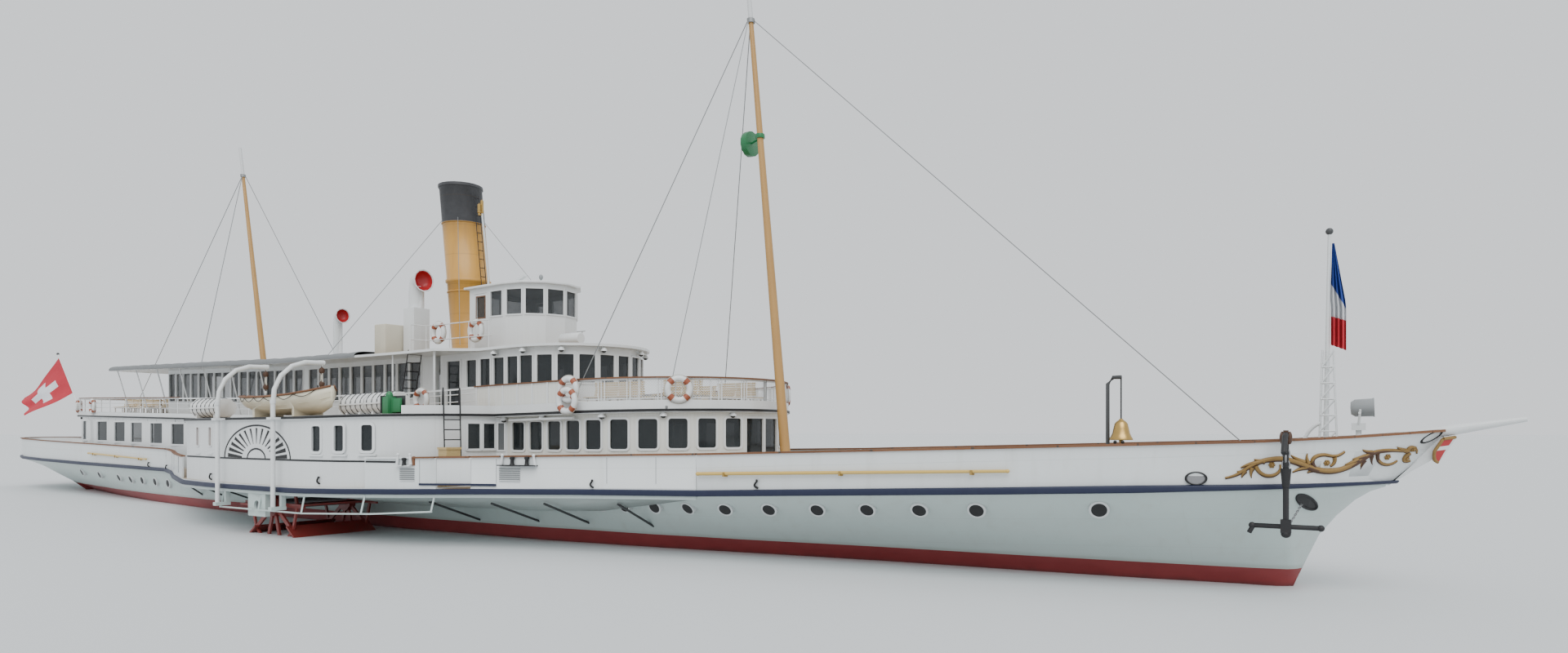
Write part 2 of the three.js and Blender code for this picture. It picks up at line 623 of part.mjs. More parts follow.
// Engine and boiler
const tankTop = pocket.floor + seat;
add('engine', fuse(
  box(-5.7, -0.75, -1.0, 1.0, tankTop, 0.2),
  loft([[-5.4, 0.5, 1.35], [-0.7, 0.1, 1.25]].map(([x, low, high]) => (
    [[x, -0.8, low], [x, 0.8, low], [x, 0.8, high], [x, -0.8, high]]))),
));
add('boiler', rod([1.0, 0, 0.0187], [5.2, 0, 0.0187], 1.19, 16).rotateX(Math.PI / 16));

// Main deck saloons
// Half of a round front: facets as wide as its windows, from the port side to the starboard side.
function roundFront(centre, radius, facets) {
  return Array.from({ length: facets + 1 }, (_, i) => {
    const angle = Math.PI / 2 - (Math.PI * i) / facets;
    return [centre + radius * Math.cos(angle), radius * Math.sin(angle)];
  });
}

// One window opening through each facet of a round front.
function frontWindows(line, width, z0, z1, skip = []) {
  return line.slice(1).map((end, i) => {
    const start = line[i];
    const angle = Math.atan2(end[1] - start[1], end[0] - start[0]);
    return box(-width / 2, width / 2, -0.2, 0.2, z0, z1).rotateZ(angle)
      .translate((start[0] + end[0]) / 2, (start[1] + end[1]) / 2, 0);
  }).filter((_, i) => !skip.includes(i));
}

function sideWindows(places, width, half, z0, z1) {
  return places.flatMap((x) => [-half, half].map((y) => (
    box(x - width / 2, x + width / 2, y - 0.25, y + 0.25, z0, z1))));
}

const foreSaloon = { aft: 6.9, half: 3.55, centre: 9.95, facets: 14 };
const foreFront = roundFront(foreSaloon.centre, foreSaloon.half, foreSaloon.facets);
const foreLine = [[foreSaloon.aft, foreSaloon.half], ...foreFront, [foreSaloon.aft, -foreSaloon.half]];
add('fore_saloon', lift(cut(
  walls(foreLine, boxFoot, deckUnder - seat),
  ...frontWindows(foreFront, 0.52, 2.5, 3.3, [6, 7]),
  ...frontWindows(foreFront, 0.7, mainDeck + 0.15, 3.3).slice(6, 8),
  ...sideWindows([7.4, 8.14, 8.88, 9.62], 0.52, foreSaloon.half, 2.5, 3.3),
  box(foreSaloon.aft - 0.2, foreSaloon.aft + 0.2, -0.6, 0.6, mainDeck + 0.15, 3.3),
)));

const aftLine = [
  [-6.4, 3.34], [-12.5, 3.3], [-18, 3.14], [-24, 2.84], [-26.1, 2.6],
  [-26.1, -2.6], [-24, -2.84], [-18, -3.14], [-12.5, -3.3], [-6.4, -3.34],
];
add('aft_saloon', lift(cut(
  walls(aftLine, boxFoot, deckUnder - seat),
  ...sideWindows([-25.2, -22.9, -20.65, -18.6, -16.45, -14.3, -12.0, -9.7], 1.15, 3.0, 2.47, 3.3),
  ...sideWindows([-14.3, -12.0, -9.7], 1.15, 3.3, 2.47, 3.3),
  box(-26.4, -25.8, -0.55, 0.55, mainDeck + 0.15, 3.25),
  box(-6.7, -6.1, -0.6, 0.6, mainDeck + 0.15, 3.3),
)));

// Promenade deck
const bowRound = (centre, radius, steps) => Array.from({ length: steps + 1 }, (_, i) => {
  const angle = (Math.PI / 2) * (i / steps);
  return [centre + radius * Math.sin(angle), Math.max(radius * Math.cos(angle), 0.02)];
});
const overBox = [
  [-5.96, 6.4], [-5.72, 6.63], [-5.2, 6.86], [-2.5, 7.16], [2, 7.16], [2.5, 7.16], [4, 6.96], [4.85, 6.66],
  [5.57, 6.16], [6.17, 5.48], [6.57, 4.67], [6.72, 3.86],
];
const promenadeStations = [
  [-27.9, 1.3], [-27.6, 2.1], [-27, 2.5], [-24, 2.92], [-18, 3.2], [-12.5, 3.4], [-6, 3.5],
  ...overBox, ...bowRound(9.85, 3.78, 8),
];
const funnelWell = { x0: 0.14, x1: 1.66, half: 0.8 };
const stairWell = { x0: -8.2, x1: -6.6, half: 0.6 };
add('promenade_deck', lift(cut(
  fuse(plate(promenadeStations, deckUnder, promenade), ...davits.flatMap(({ x }) => [-1, 1].map((sign) => (
    box(x - 0.13, x + 0.13, sign * 7.05, sign * 7.46, deckUnder + 0.02, promenade - 0.02))))),
  ...davits.flatMap(({ x }) => [-1, 1].map((sign) => (
    rod([x, sign * davitAxis, 3], [x, sign * davitAxis, 4], 0.08, 12)))),
  box(funnelWell.x0, funnelWell.x1, -funnelWell.half, funnelWell.half, 3, 4),
  box(stairWell.x0, stairWell.x1, -stairWell.half, stairWell.half, 3, 4),
)));

// Casing of the funnel's uptake, through both decks.
const roofUnder = 5.64;
const uptakeLine = [[0.2, 0.75], [0.2, -0.75], [1.6, -0.75], [1.6, 0.75]];
add('funnel_casing', walls(uptakeLine, boxFoot, roofUnder - seat, 0.05));

// Railings of the promenade deck
const railTop = promenade + 0.8;

// Posts, a top rail and lower rails along a line in plan.
function railing(line, heights, postRadius = 0.022, pitch = 2.1) {
  const rails = heights.map(({ z, radius }) => (
    tube(line.map(([x, y]) => [x, y, z]), radius, 4, false, Math.PI / 4)));
  const posts = [];
  line.slice(1).forEach((end, i) => {
    const start = line[i];
    const long = Math.hypot(end[0] - start[0], end[1] - start[1]);
    const steps = Math.max(1, Math.round(long / pitch));
    for (let k = i === 0 ? 0 : 1; k <= steps; k += 1) {
      const share = Math.min(0.998, Math.max(0.002, k / steps));
      const [x, y] = [start[0] + (end[0] - start[0]) * share, start[1] + (end[1] - start[1]) * share];
      posts.push(rod([x, y, promenade + seat], [x, y, heights[0].z], postRadius, 4));
    }
  });
  return lift(fuse(...rails, ...posts));
}

const rails = [{ z: railTop, radius: 0.035 }, { z: promenade + 0.14, radius: 0.02 }];
const aftRailHalf = [
  [-6, 3.4], [-12.5, 3.3], [-18, 3.1], [-24, 2.82], [-27, 2.4], [-27.55, 2.0], [-27.8, 1.2],
];
const aftRailLine = [...aftRailHalf, ...aftRailHalf.map(([x, y]) => [x, -y]).reverse()];
add('aft_railing', railing(aftRailLine, rails));

const foreRailHalf = [[-5.9, 3.4], [2, 3.4], [6.6, 3.7], ...roundFront(9.85, 3.68, 12).slice(0, 7)];
const foreRailLine = [...foreRailHalf, ...foreRailHalf.slice(0, -1).map(([x, y]) => [x, -y]).reverse()];
add('fore_railing', railing(foreRailLine, rails));

// Upper saloon, shelter and roofs
const upperFoot = promenade + seat;
const upperSaloon = { aft: 2.05, half: 2.27, centre: 5.87, facets: 11 };
const upperFront = roundFront(upperSaloon.centre, upperSaloon.half, upperSaloon.facets);
const upperLine = [[upperSaloon.aft, upperSaloon.half], ...upperFront, [upperSaloon.aft, -upperSaloon.half]];
add('upper_saloon', lift(cut(
  walls(upperLine, upperFoot, roofUnder - seat),
  ...frontWindows(upperFront, 0.48, 4.53, 5.4),
  ...sideWindows([3.66, 4.325, 4.99, 5.62], 0.5, upperSaloon.half, 4.53, 5.4),
  ...sideWindows([2.75], 0.66, upperSaloon.half, promenade + 0.12, 5.42),
  box(upperSaloon.aft - 0.2, upperSaloon.aft + 0.2, -0.6, 0.6, promenade + 0.12, 5.42),
)));

const shelter = { aft: -17.5, fore: 1.75, half: 2.3, pane: 0.7 };
const shelterLine = [[shelter.aft, shelter.half], [-6, shelter.half], [shelter.fore, shelter.half],
  [shelter.fore, -shelter.half], [-6, -shelter.half], [shelter.aft, -shelter.half]];
const panes = Array.from({ length: 16 }, (_, i) => shelter.aft + 0.42 + i * shelter.pane)
  .concat(Array.from({ length: 10 }, (_, i) => -5.55 + i * shelter.pane));
add('glazed_shelter', lift(cut(
  walls(shelterLine, upperFoot, roofUnder - seat),
  ...sideWindows(panes, 0.6, shelter.half, 4.25, 5.48),
  box(shelter.aft - 0.2, shelter.aft + 0.2, -2.1, -0.75, 4.25, 5.48),
  box(shelter.aft - 0.2, shelter.aft + 0.2, 0.75, 2.1, 4.25, 5.48),
  box(shelter.aft - 0.2, shelter.aft + 0.2, -0.5, 0.5, promenade + 0.12, 5.48),
  box(shelter.fore - 0.2, shelter.fore + 0.2, 0.85, 2.1, promenade + 0.12, 5.48),
  box(shelter.fore - 0.2, shelter.fore + 0.2, -2.1, -0.85, promenade + 0.12, 5.48),
)));

// Grey awning deck aft on outward leaning posts, with the main mast's hole.
const mainMast = {
  foot: [-13.26, promenade + upperRise(-13.26) + 0.0034],
  head: [-15.9, 16.24],
  radius: 0.14,
  top: 0.06,
};
// The x at height z on the line from a foot to a head, each an [x, z].
const alongLean = (foot, head, z) => foot[0] + ((head[0] - foot[0]) * (z - foot[1])) / (head[1] - foot[1]);
const mainMastX = (z) => alongLean(mainMast.foot, mainMast.head, z);
const awningStations = [[-21.6, 2.0], [-21.45, 3.15], [-18, 3.3], [-12.5, 3.4], [-6, 3.42], [-1, 3.42]];
const awningCrown = 0.1;
const awningPosts = [
  { x: -20.8, head: 3.05, foot: 2.5 },
  { x: -18.6, head: 3.15, foot: 2.6 },
  { x: -16.4, head: 3.2, foot: 2.7 },
  { x: -14.2, head: 3.25, foot: 2.75 },
  { x: -12, head: 3.3, foot: 2.8 },
  { x: -9.8, head: 3.3, foot: 2.85 },
  { x: -7.6, head: 3.3, foot: 2.85 },
];
const awning = fuse(
  loft(awningStations.map(([x, y]) => [
    [x, -y, roofUnder], [x, y, roofUnder], [x, y, roofUnder + 0.07], [x, 0, roofUnder + 0.07 + awningCrown],
    [x, -y, roofUnder + 0.07]])),
  ...awningPosts.flatMap(({ x, head, foot }) => [-1, 1].map((sign) => (
    rod([x, sign * head, roofUnder + 0.03], [x, sign * foot, promenade + seat + 0.007], 0.028, 6)))),
);
add('awning_deck', lift(cut(awning, rod([mainMastX(5), 0, 5], [mainMastX(6.4), 0, 6.4], 0.22, 12))));

const roofTop = 5.72;
const bridgeStations = [
  [-0.98, 3.42], [1.1, 3.42], [2, 3.42], [3.3, 3.4], [3.9, 2.8], [4.3, 2.5], ...bowRound(5.87, 2.5, 7),
];
add('bridge_deck', lift(fuse(
  plate(bridgeStations, roofUnder, roofTop),
  ...[0.9, 3.1].flatMap((x) => [-3.25, 3.25].map((y) => (
    rod([x, y, promenade + seat], [x, y, roofUnder + 0.02], 0.035, 8)))),
)));

// Wheelhouse
const house = { aft: 2.35, half: 1.35, centre: 4.15, facets: 6, foot: roofTop + seat, top: 7.9 };
const houseFront = roundFront(house.centre, house.half, house.facets);
const houseLine = [[house.aft, house.half], ...houseFront, [house.aft, -house.half]];
const door = { x0: 2.62, x1: 3.24, z0: roofTop + 0.1, z1: 7.72 };
add('wheelhouse', lift(cut(
  walls(houseLine, house.foot, house.top, 0.05),
  ...frontWindows(houseFront, 0.58, 6.92, 7.74),
  ...sideWindows([3.72], 0.56, house.half, 6.92, 7.74),
  box(house.aft - 0.2, house.aft + 0.2, -1.1, -0.1, 6.92, 7.74),
  box(house.aft - 0.2, house.aft + 0.2, 0.1, 1.1, 6.92, 7.74),
  ...[-house.half, house.half].map((y) => (
    box(door.x0 - seat, door.x1 + 0.01, y - 0.2, y + 0.2, door.z0 - 0.01, door.z1 + 0.01))),
)));
add('wheelhouse_roof', lift(slab(inset(houseLine, -0.14), house.top + seat, house.top + 0.08)));
sides.forEach(({ side, sign }) => {
  const leaf = cut(
    box(door.x0, door.x1, 1.3, 1.35, door.z0, door.z1),
    box(door.x0 + 0.09, door.x1 - 0.09, 1.2, 1.5, 6.92, 7.62),
  );
  add('wheelhouse_door_' + side, lift(sign > 0 ? leaf : mirrorY(leaf)));
});

// Funnel
const funnel = { x: 0.89, foot: roofTop + seat, top: 12.05, rake: -0.13, radius: 0.74 };

// A skin through rings that ends where it began, like a thick tube.
function hoop(rings) {
  const geometry = loft([...rings, rings[0]]);
  geometry.setIndex(Array.from(geometry.index.array).slice(0, rings.length * rings[0].length * 6));
  return geometry;
}

const funnelSteps = [
  { z: funnel.foot, radius: 0.86 },
  { z: roofTop + 0.16, radius: 0.86 },
  { z: roofTop + 0.2, radius: 0.76 },
  { z: 8.44, radius: 0.74 },
  { z: 8.47, radius: 0.79 },
  { z: 8.56, radius: 0.79 },
  { z: 8.59, radius: 0.74 },
  { z: funnel.top - 0.12, radius: 0.74 },
  { z: funnel.top - 0.1, radius: 0.78 },
  { z: funnel.top, radius: 0.78 },
  { z: funnel.top, radius: 0.67 },
  { z: funnel.foot, radius: 0.67 },
];
add('funnel', hoop(funnelSteps.map(({ z, radius }) => (
  ringAt([funnel.x + funnel.rake * (z - roofTop), 0, z], [0, 0, 1], radius, 20)))));
const pipeLine = [[-0.1, 0, roofTop + 0.0066], [-0.37, 0, 8.5], [-0.84, 0, 12.05], [-0.87, 0, 12.3]];
add('steam_pipe', tube(pipeLine, 0.06, 6));

// Ventilation cowls
function cowl({ x, y, z, trunk, neck, mouth, reach, foot }) {
  const outer = loft([
    ringAt([x, y, foot + 0.02], [0, 0, 1], neck, 12),
    ringAt([x, y, z - mouth * 0.9], [0, 0, 1], neck, 12),
    ringAt([x + reach * 0.2, y, z - mouth * 0.1], [1, 0, 1], neck * 1.15, 12),
    ringAt([x + reach * 0.7, y, z], [1, 0, 0], mouth * 0.85, 12),
    ringAt([x + reach, y, z], [1, 0, 0], mouth, 12),
  ]);
  const throat = loft([
    ringAt([x + reach * 0.25, y, z - mouth * 0.05], [1, 0, 0.4], neck * 0.9, 12),
    ringAt([x + reach * 0.75, y, z], [1, 0, 0], mouth * 0.78, 12),
    ringAt([x + reach + 0.02, y, z], [1, 0, 0], mouth * 0.93, 12),
  ]);
  const square = box(x - trunk.half, x + trunk.half, y - trunk.half, y + trunk.half, foot, trunk.top);
  return cut(fuse(outer, square), throat);
}
const bigCowl = {
  x: 0.36, y: 2.0, z: 8.29, trunk: { half: 0.3, top: 7.35 }, neck: 0.25, mouth: 0.39, reach: 0.42,
  foot: roofTop + seat,
};
add('big_cowl', mirrorY(cowl(bigCowl)));
const awningTop = (y) => roofUnder + 0.07 + awningCrown * (1 - y / 3.42);
const smallCowl = {
  x: -4.45, y: 2.0, z: 7.43, trunk: { half: 0.22, top: 5.9 }, neck: 0.16, mouth: 0.28, reach: 0.34,
  foot: awningTop(1.78) + 0.001,
};
add('aft_cowl', mirrorY(cowl(smallCowl)));
add('bridge_locker', box(-0.62, 0.0, -2.95, -1.75, roofTop + seat, 6.78));

// Masts, stays and signal ball
const foreMast = { foot: [14.3, mainDeck + mainRise(14.3) + 0.005], height: 16.3, radius: 0.15, top: 0.06 };
const foreMastX = (z) => foreMast.foot[0] - 0.0955 * (z - foreMast.foot[1]);
// A leaning pole whose foot is cut level.
const levelRing = (x, z, radius, count) => ringAt([x, 0, z], [0, 0, 1], radius, count);
const pole = (foot, head, radius, top, count) => (
  loft([levelRing(...foot, radius, count), levelRing(...head, top, count)]));
const foreHead = [foreMastX(foreMast.height), foreMast.height];
add('fore_mast', pole(foreMast.foot, foreHead, foreMast.radius, foreMast.top, 12));
add('main_mast', pole(mainMast.foot, mainMast.head, mainMast.radius, mainMast.top, 12));
// A clamp round a leaning mast, a hair wider than the mast.
function mastRadius(mast, z) {
  const height = mast.height ?? mast.head[1];
  return mast.radius + ((mast.top - mast.radius) * (z - mast.foot[1])) / (height - mast.foot[1]);
}
function clamp(mast, mastX, z) {
  const ring = (level, extra) => levelRing(mastX(level), level, mastRadius(mast, level) + extra, 12);
  return hoop([ring(z - 0.06, 0.045), ring(z + 0.06, 0.045), ring(z + 0.06, 0.001), ring(z - 0.06, 0.001)]);
}
const ball = { x: 12.72, y: 0.42, z: 11.5 };
add('signal_ball', fuse(
  rod([ball.x - 0.09, ball.y, ball.z], [ball.x + 0.09, ball.y, ball.z], 0.36, 14),
  rod([ball.x, ball.y, ball.z], [foreMastX(ball.z) - 0.03, 0.11, ball.z], 0.03, 6),
  clamp(foreMast, foreMastX, ball.z),
));

// Stays of one mast are joined at a clamp round it, and each ends in an eye plate.
function stays(mast, mastX, z, ends, gauge) {
  const ropes = ends.map(([x, y, under]) => {
    const away = new THREE.Vector3(x - mastX(z), y, 0).setLength(mastRadius(mast, z) + 0.022);
    return fuse(
      rod([mastX(z) + away.x, away.y, z], [x, y, under + 0.04], gauge, 4),
      box(x - 0.05, x + 0.05, y - 0.04, y + 0.04, under + 0.0018, under + 0.07),
    );
  });
  return fuse(clamp(mast, mastX, z), ...ropes);
}
const onMain = (x) => mainDeck + mainRise(x);
const onPromenade = (x) => promenade + upperRise(x);
const onAwning = (x, y) => awningTop(Math.abs(y) - 0.04) + upperRise(x);
add('fore_stays', stays(foreMast, foreMastX, 14.85, [
  [26.3, 0, onMain(26.35)], [12.3, 2.8, onPromenade(12.35)], [12.3, -2.8, onPromenade(12.35)],
  [9.4, 3.5, onPromenade(9.45)], [9.4, -3.5, onPromenade(9.45)],
], 0.014));
add('main_stays', stays(mainMast, mainMastX, 14.9, [
  [-12.6, 3.1, onAwning(-12.65, 3.1)], [-12.6, -3.1, onAwning(-12.65, 3.1)], [-27.3, 0, onPromenade(-27.35)],
], 0.014));

// Lifeboats, davits and rafts
const boatTable = [
  { x: -2.9, keel: 4.0, half: 0.04, top: 4.28 },
  { x: -2.5, keel: 3.82, half: 0.4, top: 4.24 },
  { x: -1.6, keel: 3.68, half: 0.66, top: 4.2 },
  { x: -0.3, keel: 3.63, half: 0.76, top: 4.19 },
  { x: 0.9, keel: 3.63, half: 0.66, top: 4.24 },
  { x: 1.7, keel: 3.7, half: 0.38, top: 4.36 },
  { x: 2.14, keel: 3.86, half: 0.05, top: 4.48 },
];
const boatY = 6.02;
// Each section runs from the keel up one side, over the cover and down the other.
function boatSection({ x, keel, half, top }) {
  const spot = (out, share) => [x, boatY + half * out, keel + (top - keel) * share];
  const cover = [x, boatY, top + half * 0.08];
  const port = [spot(0.62, 0.3), spot(0.95, 0.7), spot(1, 1)];
  return [spot(0, 0), ...port, cover, spot(-1, 1), spot(-0.95, 0.7), spot(-0.62, 0.3)];
}
const lifeboat = fuse(
  loft(boatTable.map(boatSection)),
  ...[-1.5, 0.8].map((x) => box(x - 0.06, x + 0.06, boatY - 0.45, boatY + 0.45, promenade + seat, 3.85)),
);
sides.forEach(({ side, sign }) => add('lifeboat_' + side, sign > 0 ? lifeboat : mirrorY(lifeboat)));

const davitLine = [
  [davitAxis, davitFoot], [davitAxis, 3.9], [7.3, 4.35], [7.12, 4.75], [6.8, 5.05], [6.4, 5.19], [5.85, 5.2],
];
davits.forEach(({ place, x }) => sides.forEach(({ side, sign }) => {
  const arm = tube(davitLine.map(([y, z]) => [x, sign * y, z]), 0.068, 8);
  add('davit_' + place + '_' + side, toClean(arm));
}));

// An eight-sided canister that stands on two cradles.
function raft(x0, x1, y) {
  const radius = 0.33;
  const canister = rod([x0, 0, 0], [x1, 0, 0], radius, 8).rotateX(Math.PI / 8);
  const cradles = [x0 + 0.3, x1 - 0.3].map((x) => (
    box(x - 0.04, x + 0.04, y - 0.25, y + 0.25, promenade + seat, promenade + 0.12)));
  return fuse(canister.translate(0, y, promenade + 0.03 + radius), ...cradles);
}
// The two forward canisters share one pair of deck rails.
const foreRafts = lift(fuse(
  raft(3.34, 4.62, 5.45), raft(2.02, 3.28, 5.45),
  ...[-0.2, 0.2].map((y) => box(2.3, 4.34, 5.42 + y, 5.48 + y, promenade + seat, promenade + 0.05)),
));
const aftRaft = raft(-5.86, -4.02, 6.1);
sides.forEach(({ side, sign }) => {
  add('rafts_fore_' + side, sign > 0 ? foreRafts : mirrorY(foreRafts));
  add('raft_aft_' + side, sign > 0 ? aftRaft : mirrorY(aftRaft));
});

sides.forEach(({ side, sign }) => {
  const lamp = fuse(
    box(4.75, 5.42, 5.92, 6.0, promenade + 0.05, 4.0),
    box(4.78, 5.05, 5.85, 6.12, promenade + seat, 4.05),
  );
  add('side_lamp_' + side, lift(sign > 0 ? lamp : mirrorY(lamp)));
});

// Bow and stern fittings
add('bowsprit', loft([[27.9, 0.1], [29.2, 0.1], [30.22, 0.045]].map(([x, radius]) => (
  ringAt([x, 0, bowspritZ(x)], [1, 0, 0.1785], radius, 10)))));
add('jackstaff', pole([27.1, mainDeck + mainRise(27.1) + 0.0025], [27.17, 7.1], 0.05, 0.03, 8));
const staff = { foot: [-31.55, mainDeck + mainRise(-31.55) + 0.0012], head: [-37.35, 7.7] };
add('ensign_staff', pole(staff.foot, staff.head, 0.055, 0.035, 8));

// The ensign is cloth, a thin slanting sheet tied to its staff.
const staffX = (z) => alongLean(staff.foot, staff.head, z);
const ensign = [[staffX(7.5) - 0.0366, 7.5], [staffX(5.35) - 0.0438, 5.35], [-39.4, 4.95], [-39.9, 5.9]];
add('ensign', pushY(ensign, -0.012, 0.012));
add('jack_flag', loft([
  ringAt([27.31, 0, 4.75], [0, 0, 1], 0.08, 8), ringAt([27.36, 0, 5.3], [0, 0, 1], 0.14, 8),
  ringAt([27.33, 0, 6.2], [0, 0, 1], 0.11, 8), ringAt([27.2287, 0, 6.9], [0, 0, 1], 0.03, 8)]));

// Stocked anchor hung at the starboard bow, its crown on the bulwark's side.
const anchor = { x: 26.57, y: -2.204, low: 1.3, high: 3.1 };
const flukes = [[-0.45, -0.35], [-0.2, -0.06], [0, 0], [0.2, -0.06], [0.38, -0.14]].map(([y, z]) => (
  [anchor.x, anchor.y + y, anchor.high + z]));
add('anchor', fuse(
  rod([anchor.x, anchor.y, anchor.low], [anchor.x, anchor.y, anchor.high], 0.05, 8),
  rod([anchor.x - 0.55, anchor.y, anchor.low + 0.1], [anchor.x + 0.55, anchor.y, anchor.low + 0.1], 0.045, 8),
  tube(flukes, 0.05, 6),
));
add('bell_post', fuse(
  tube([[22.9, 0, onMain(22.9) + 0.0031], [22.9, 0, 4.2], [23.02, 0, 4.35], [23.2, 0, 4.35]], 0.045, 8),
  loft([ringAt([23.19, 0, 2.95], [0, 0, 1], 0.24, 10), ringAt([23.19, 0, 3.05], [0, 0, 1], 0.19, 10),
    ringAt([23.19, 0, 3.3], [0, 0, 1], 0.13, 10), ringAt([23.19, 0, 3.38], [0, 0, 1], 0.05, 10)]),
  rod([23.19, 0, 3.3], [23.19, 0, 4.36], 0.018, 4),
));

export default boat;
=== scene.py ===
import json
import math
import random

import bmesh
import bpy
from mathutils import Matrix, Vector
from mathutils.bvhtree import BVHTree


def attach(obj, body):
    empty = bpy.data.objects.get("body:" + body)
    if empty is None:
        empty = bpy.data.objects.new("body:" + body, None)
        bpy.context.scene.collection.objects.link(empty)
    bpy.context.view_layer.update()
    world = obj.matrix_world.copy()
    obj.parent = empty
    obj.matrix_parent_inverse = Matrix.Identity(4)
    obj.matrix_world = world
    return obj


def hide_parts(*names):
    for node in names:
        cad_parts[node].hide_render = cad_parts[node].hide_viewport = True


# Lengths below are metres on the real boat. The model is half that size, so each mesh is halved at its end.
modelScale = 0.5
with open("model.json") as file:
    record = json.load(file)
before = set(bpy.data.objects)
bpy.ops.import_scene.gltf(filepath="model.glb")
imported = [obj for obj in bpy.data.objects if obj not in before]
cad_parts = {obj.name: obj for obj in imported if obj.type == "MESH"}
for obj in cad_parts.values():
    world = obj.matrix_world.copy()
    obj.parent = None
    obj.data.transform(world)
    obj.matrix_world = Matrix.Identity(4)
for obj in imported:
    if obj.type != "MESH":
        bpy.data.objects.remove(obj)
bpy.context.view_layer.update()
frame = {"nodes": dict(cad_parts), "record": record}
nodes = frame["nodes"]
print("frame loaded:", len(nodes), "nodes")


# Shader maths: a socket that can stand in a sum
class Socket:
    def __init__(self, paint, out):
        self.paint = paint
        self.out = out

    def sum(self, operation, first, second):
        return self.paint.node("ShaderNodeMath", {"operation": operation}, {0: first, 1: second})

    def __add__(self, other):
        return self.sum("ADD", self, other)

    def __radd__(self, other):
        return self.sum("ADD", other, self)

    def __sub__(self, other):
        return self.sum("SUBTRACT", self, other)

    def __rsub__(self, other):
        return self.sum("SUBTRACT", other, self)

    def __mul__(self, other):
        return self.sum("MULTIPLY", self, other)

    def __rmul__(self, other):
        return self.sum("MULTIPLY", other, self)

    def __truediv__(self, other):
        return self.sum("DIVIDE", self, other)

    def __gt__(self, other):
        return self.sum("GREATER_THAN", self, other)

    def __lt__(self, other):
        return self.sum("LESS_THAN", self, other)

    def __mod__(self, other):
        return self.sum("FLOORED_MODULO", self, other)

    def __pow__(self, other):
        return self.sum("POWER", self, other)

    def __abs__(self):
        return self.sum("ABSOLUTE", self, 0.0)

    def larger(self, other):
        return self.sum("MAXIMUM", self, other)

    def smaller(self, other):
        return self.sum("MINIMUM", self, other)


class Paint:
    def __init__(self, name):
        self.material = bpy.data.materials.new(name)
        self.material.use_nodes = True
        self.tree = self.material.node_tree
        self.shader = self.tree.nodes["Principled BSDF"]

    def node(self, kind, settings=None, inputs=None, output=0):
        made = self.tree.nodes.new(kind)
        for key, value in (settings or {}).items():
            if key == "stops":
                ramp = made.color_ramp
                while len(ramp.elements) < len(value):
                    ramp.elements.new(0.5)
                for element, (position, colour) in zip(ramp.elements, value):
                    element.position = position
                    element.color = (*colour, 1)
            else:
                setattr(made, key, value)
        for key, value in (inputs or {}).items():
            if isinstance(value, Socket):
                self.tree.links.new(value.out, made.inputs[key])
            else:
                made.inputs[key].default_value = value
        return Socket(self, made.outputs[output])

    def place(self, stretch=(1, 1, 1)):                     # a point on the real boat, in metres
        spot = self.node("ShaderNodeTexCoord", output=3)
        scale = tuple(s / modelScale for s in stretch)
        return self.node("ShaderNodeMapping", {}, {"Vector": spot, "Scale": scale})

    def axes(self):
        spot = self.place()
        return [self.node("ShaderNodeSeparateXYZ", {}, {0: spot}, k) for k in range(3)]

    def noise(self, scale, detail=3, stretch=(1, 1, 1)):
        return self.node("ShaderNodeTexNoise", {}, {
            "Vector": self.place(stretch), "Scale": scale, "Detail": detail, "Roughness": 0.55})

    def mix(self, share, first, second, blend="MIX"):
        colours = [c if isinstance(c, Socket) else (*c, 1) for c in (first, second)]
        return self.node("ShaderNodeMix", {"data_type": "RGBA", "blend_type": blend},
                         {0: share, 6: colours[0], 7: colours[1]}, 2)

    def ease(self, value, low, high):                       # 0 at low, 1 at high, smooth between
        return self.node("ShaderNodeMapRange", {"interpolation_type": "SMOOTHSTEP"},
                         {"Value": value, "From Min": low, "From Max": high})

    def line(self, value, pitch, width):                    # 1 on thin lines that repeat at the pitch
        return abs(value % pitch - pitch / 2) < width / 2

    def deckRise(self, x):                                  # how far the main deck has risen at x
        forward = ((x - 2) * 0.0175).larger((x - 14.4) * 0.037 + 0.217)
        return forward.larger((-6 - x) * 0.009).larger(0.0)

    def bump(self, height, strength=0.3, distance=0.002):
        return self.node("ShaderNodeBump", {}, {"Height": height, "Strength": strength, "Distance": distance})

    def finish(self, colour, rough=0.5, metal=0.0, coat=0.0, normal=None, alpha=1.0):
        wanted = {"Base Color": colour, "Roughness": rough, "Metallic": metal, "Coat Weight": coat,
                  "Normal": normal, "Alpha": alpha}
        for key, value in wanted.items():
            if isinstance(value, Socket):
                self.tree.links.new(value.out, self.shader.inputs[key])
            elif value is not None:
                self.shader.inputs[key].default_value = (*value, 1) if key == "Base Color" else value
        return self.material


def glossPaint(name, colour, settings):
    look = {"shade": 0.06, "streak": 0.05, "rough": 0.32, "coat": 0.15, "wear": 0.1}
    look.update(settings)
    paint = Paint(name)
    cloud = paint.noise(0.5, 4)
    streak = paint.ease(paint.noise(1.0, 3, (5, 5, 0.35)), 0.45, 0.75)
    dark = tuple(c * (1 - look["shade"] * 3) for c in colour)
    base = paint.mix(cloud * look["shade"] * 2, colour, dark)
    base = paint.mix(streak * look["streak"], base, look.get("dirt", (0.22, 0.2, 0.17)))
    grain = paint.noise(9, 3)
    base = paint.mix(paint.ease(grain, 0.62, 0.8) * look["wear"], base, dark)
    rough = cloud * 0.15 + grain * 0.1 + (look["rough"] - 0.12)
    normal = paint.bump(paint.noise(2.2, 3) + grain * 0.25, 0.15, 0.004)
    return paint.finish(base, rough, coat=look["coat"], normal=normal)


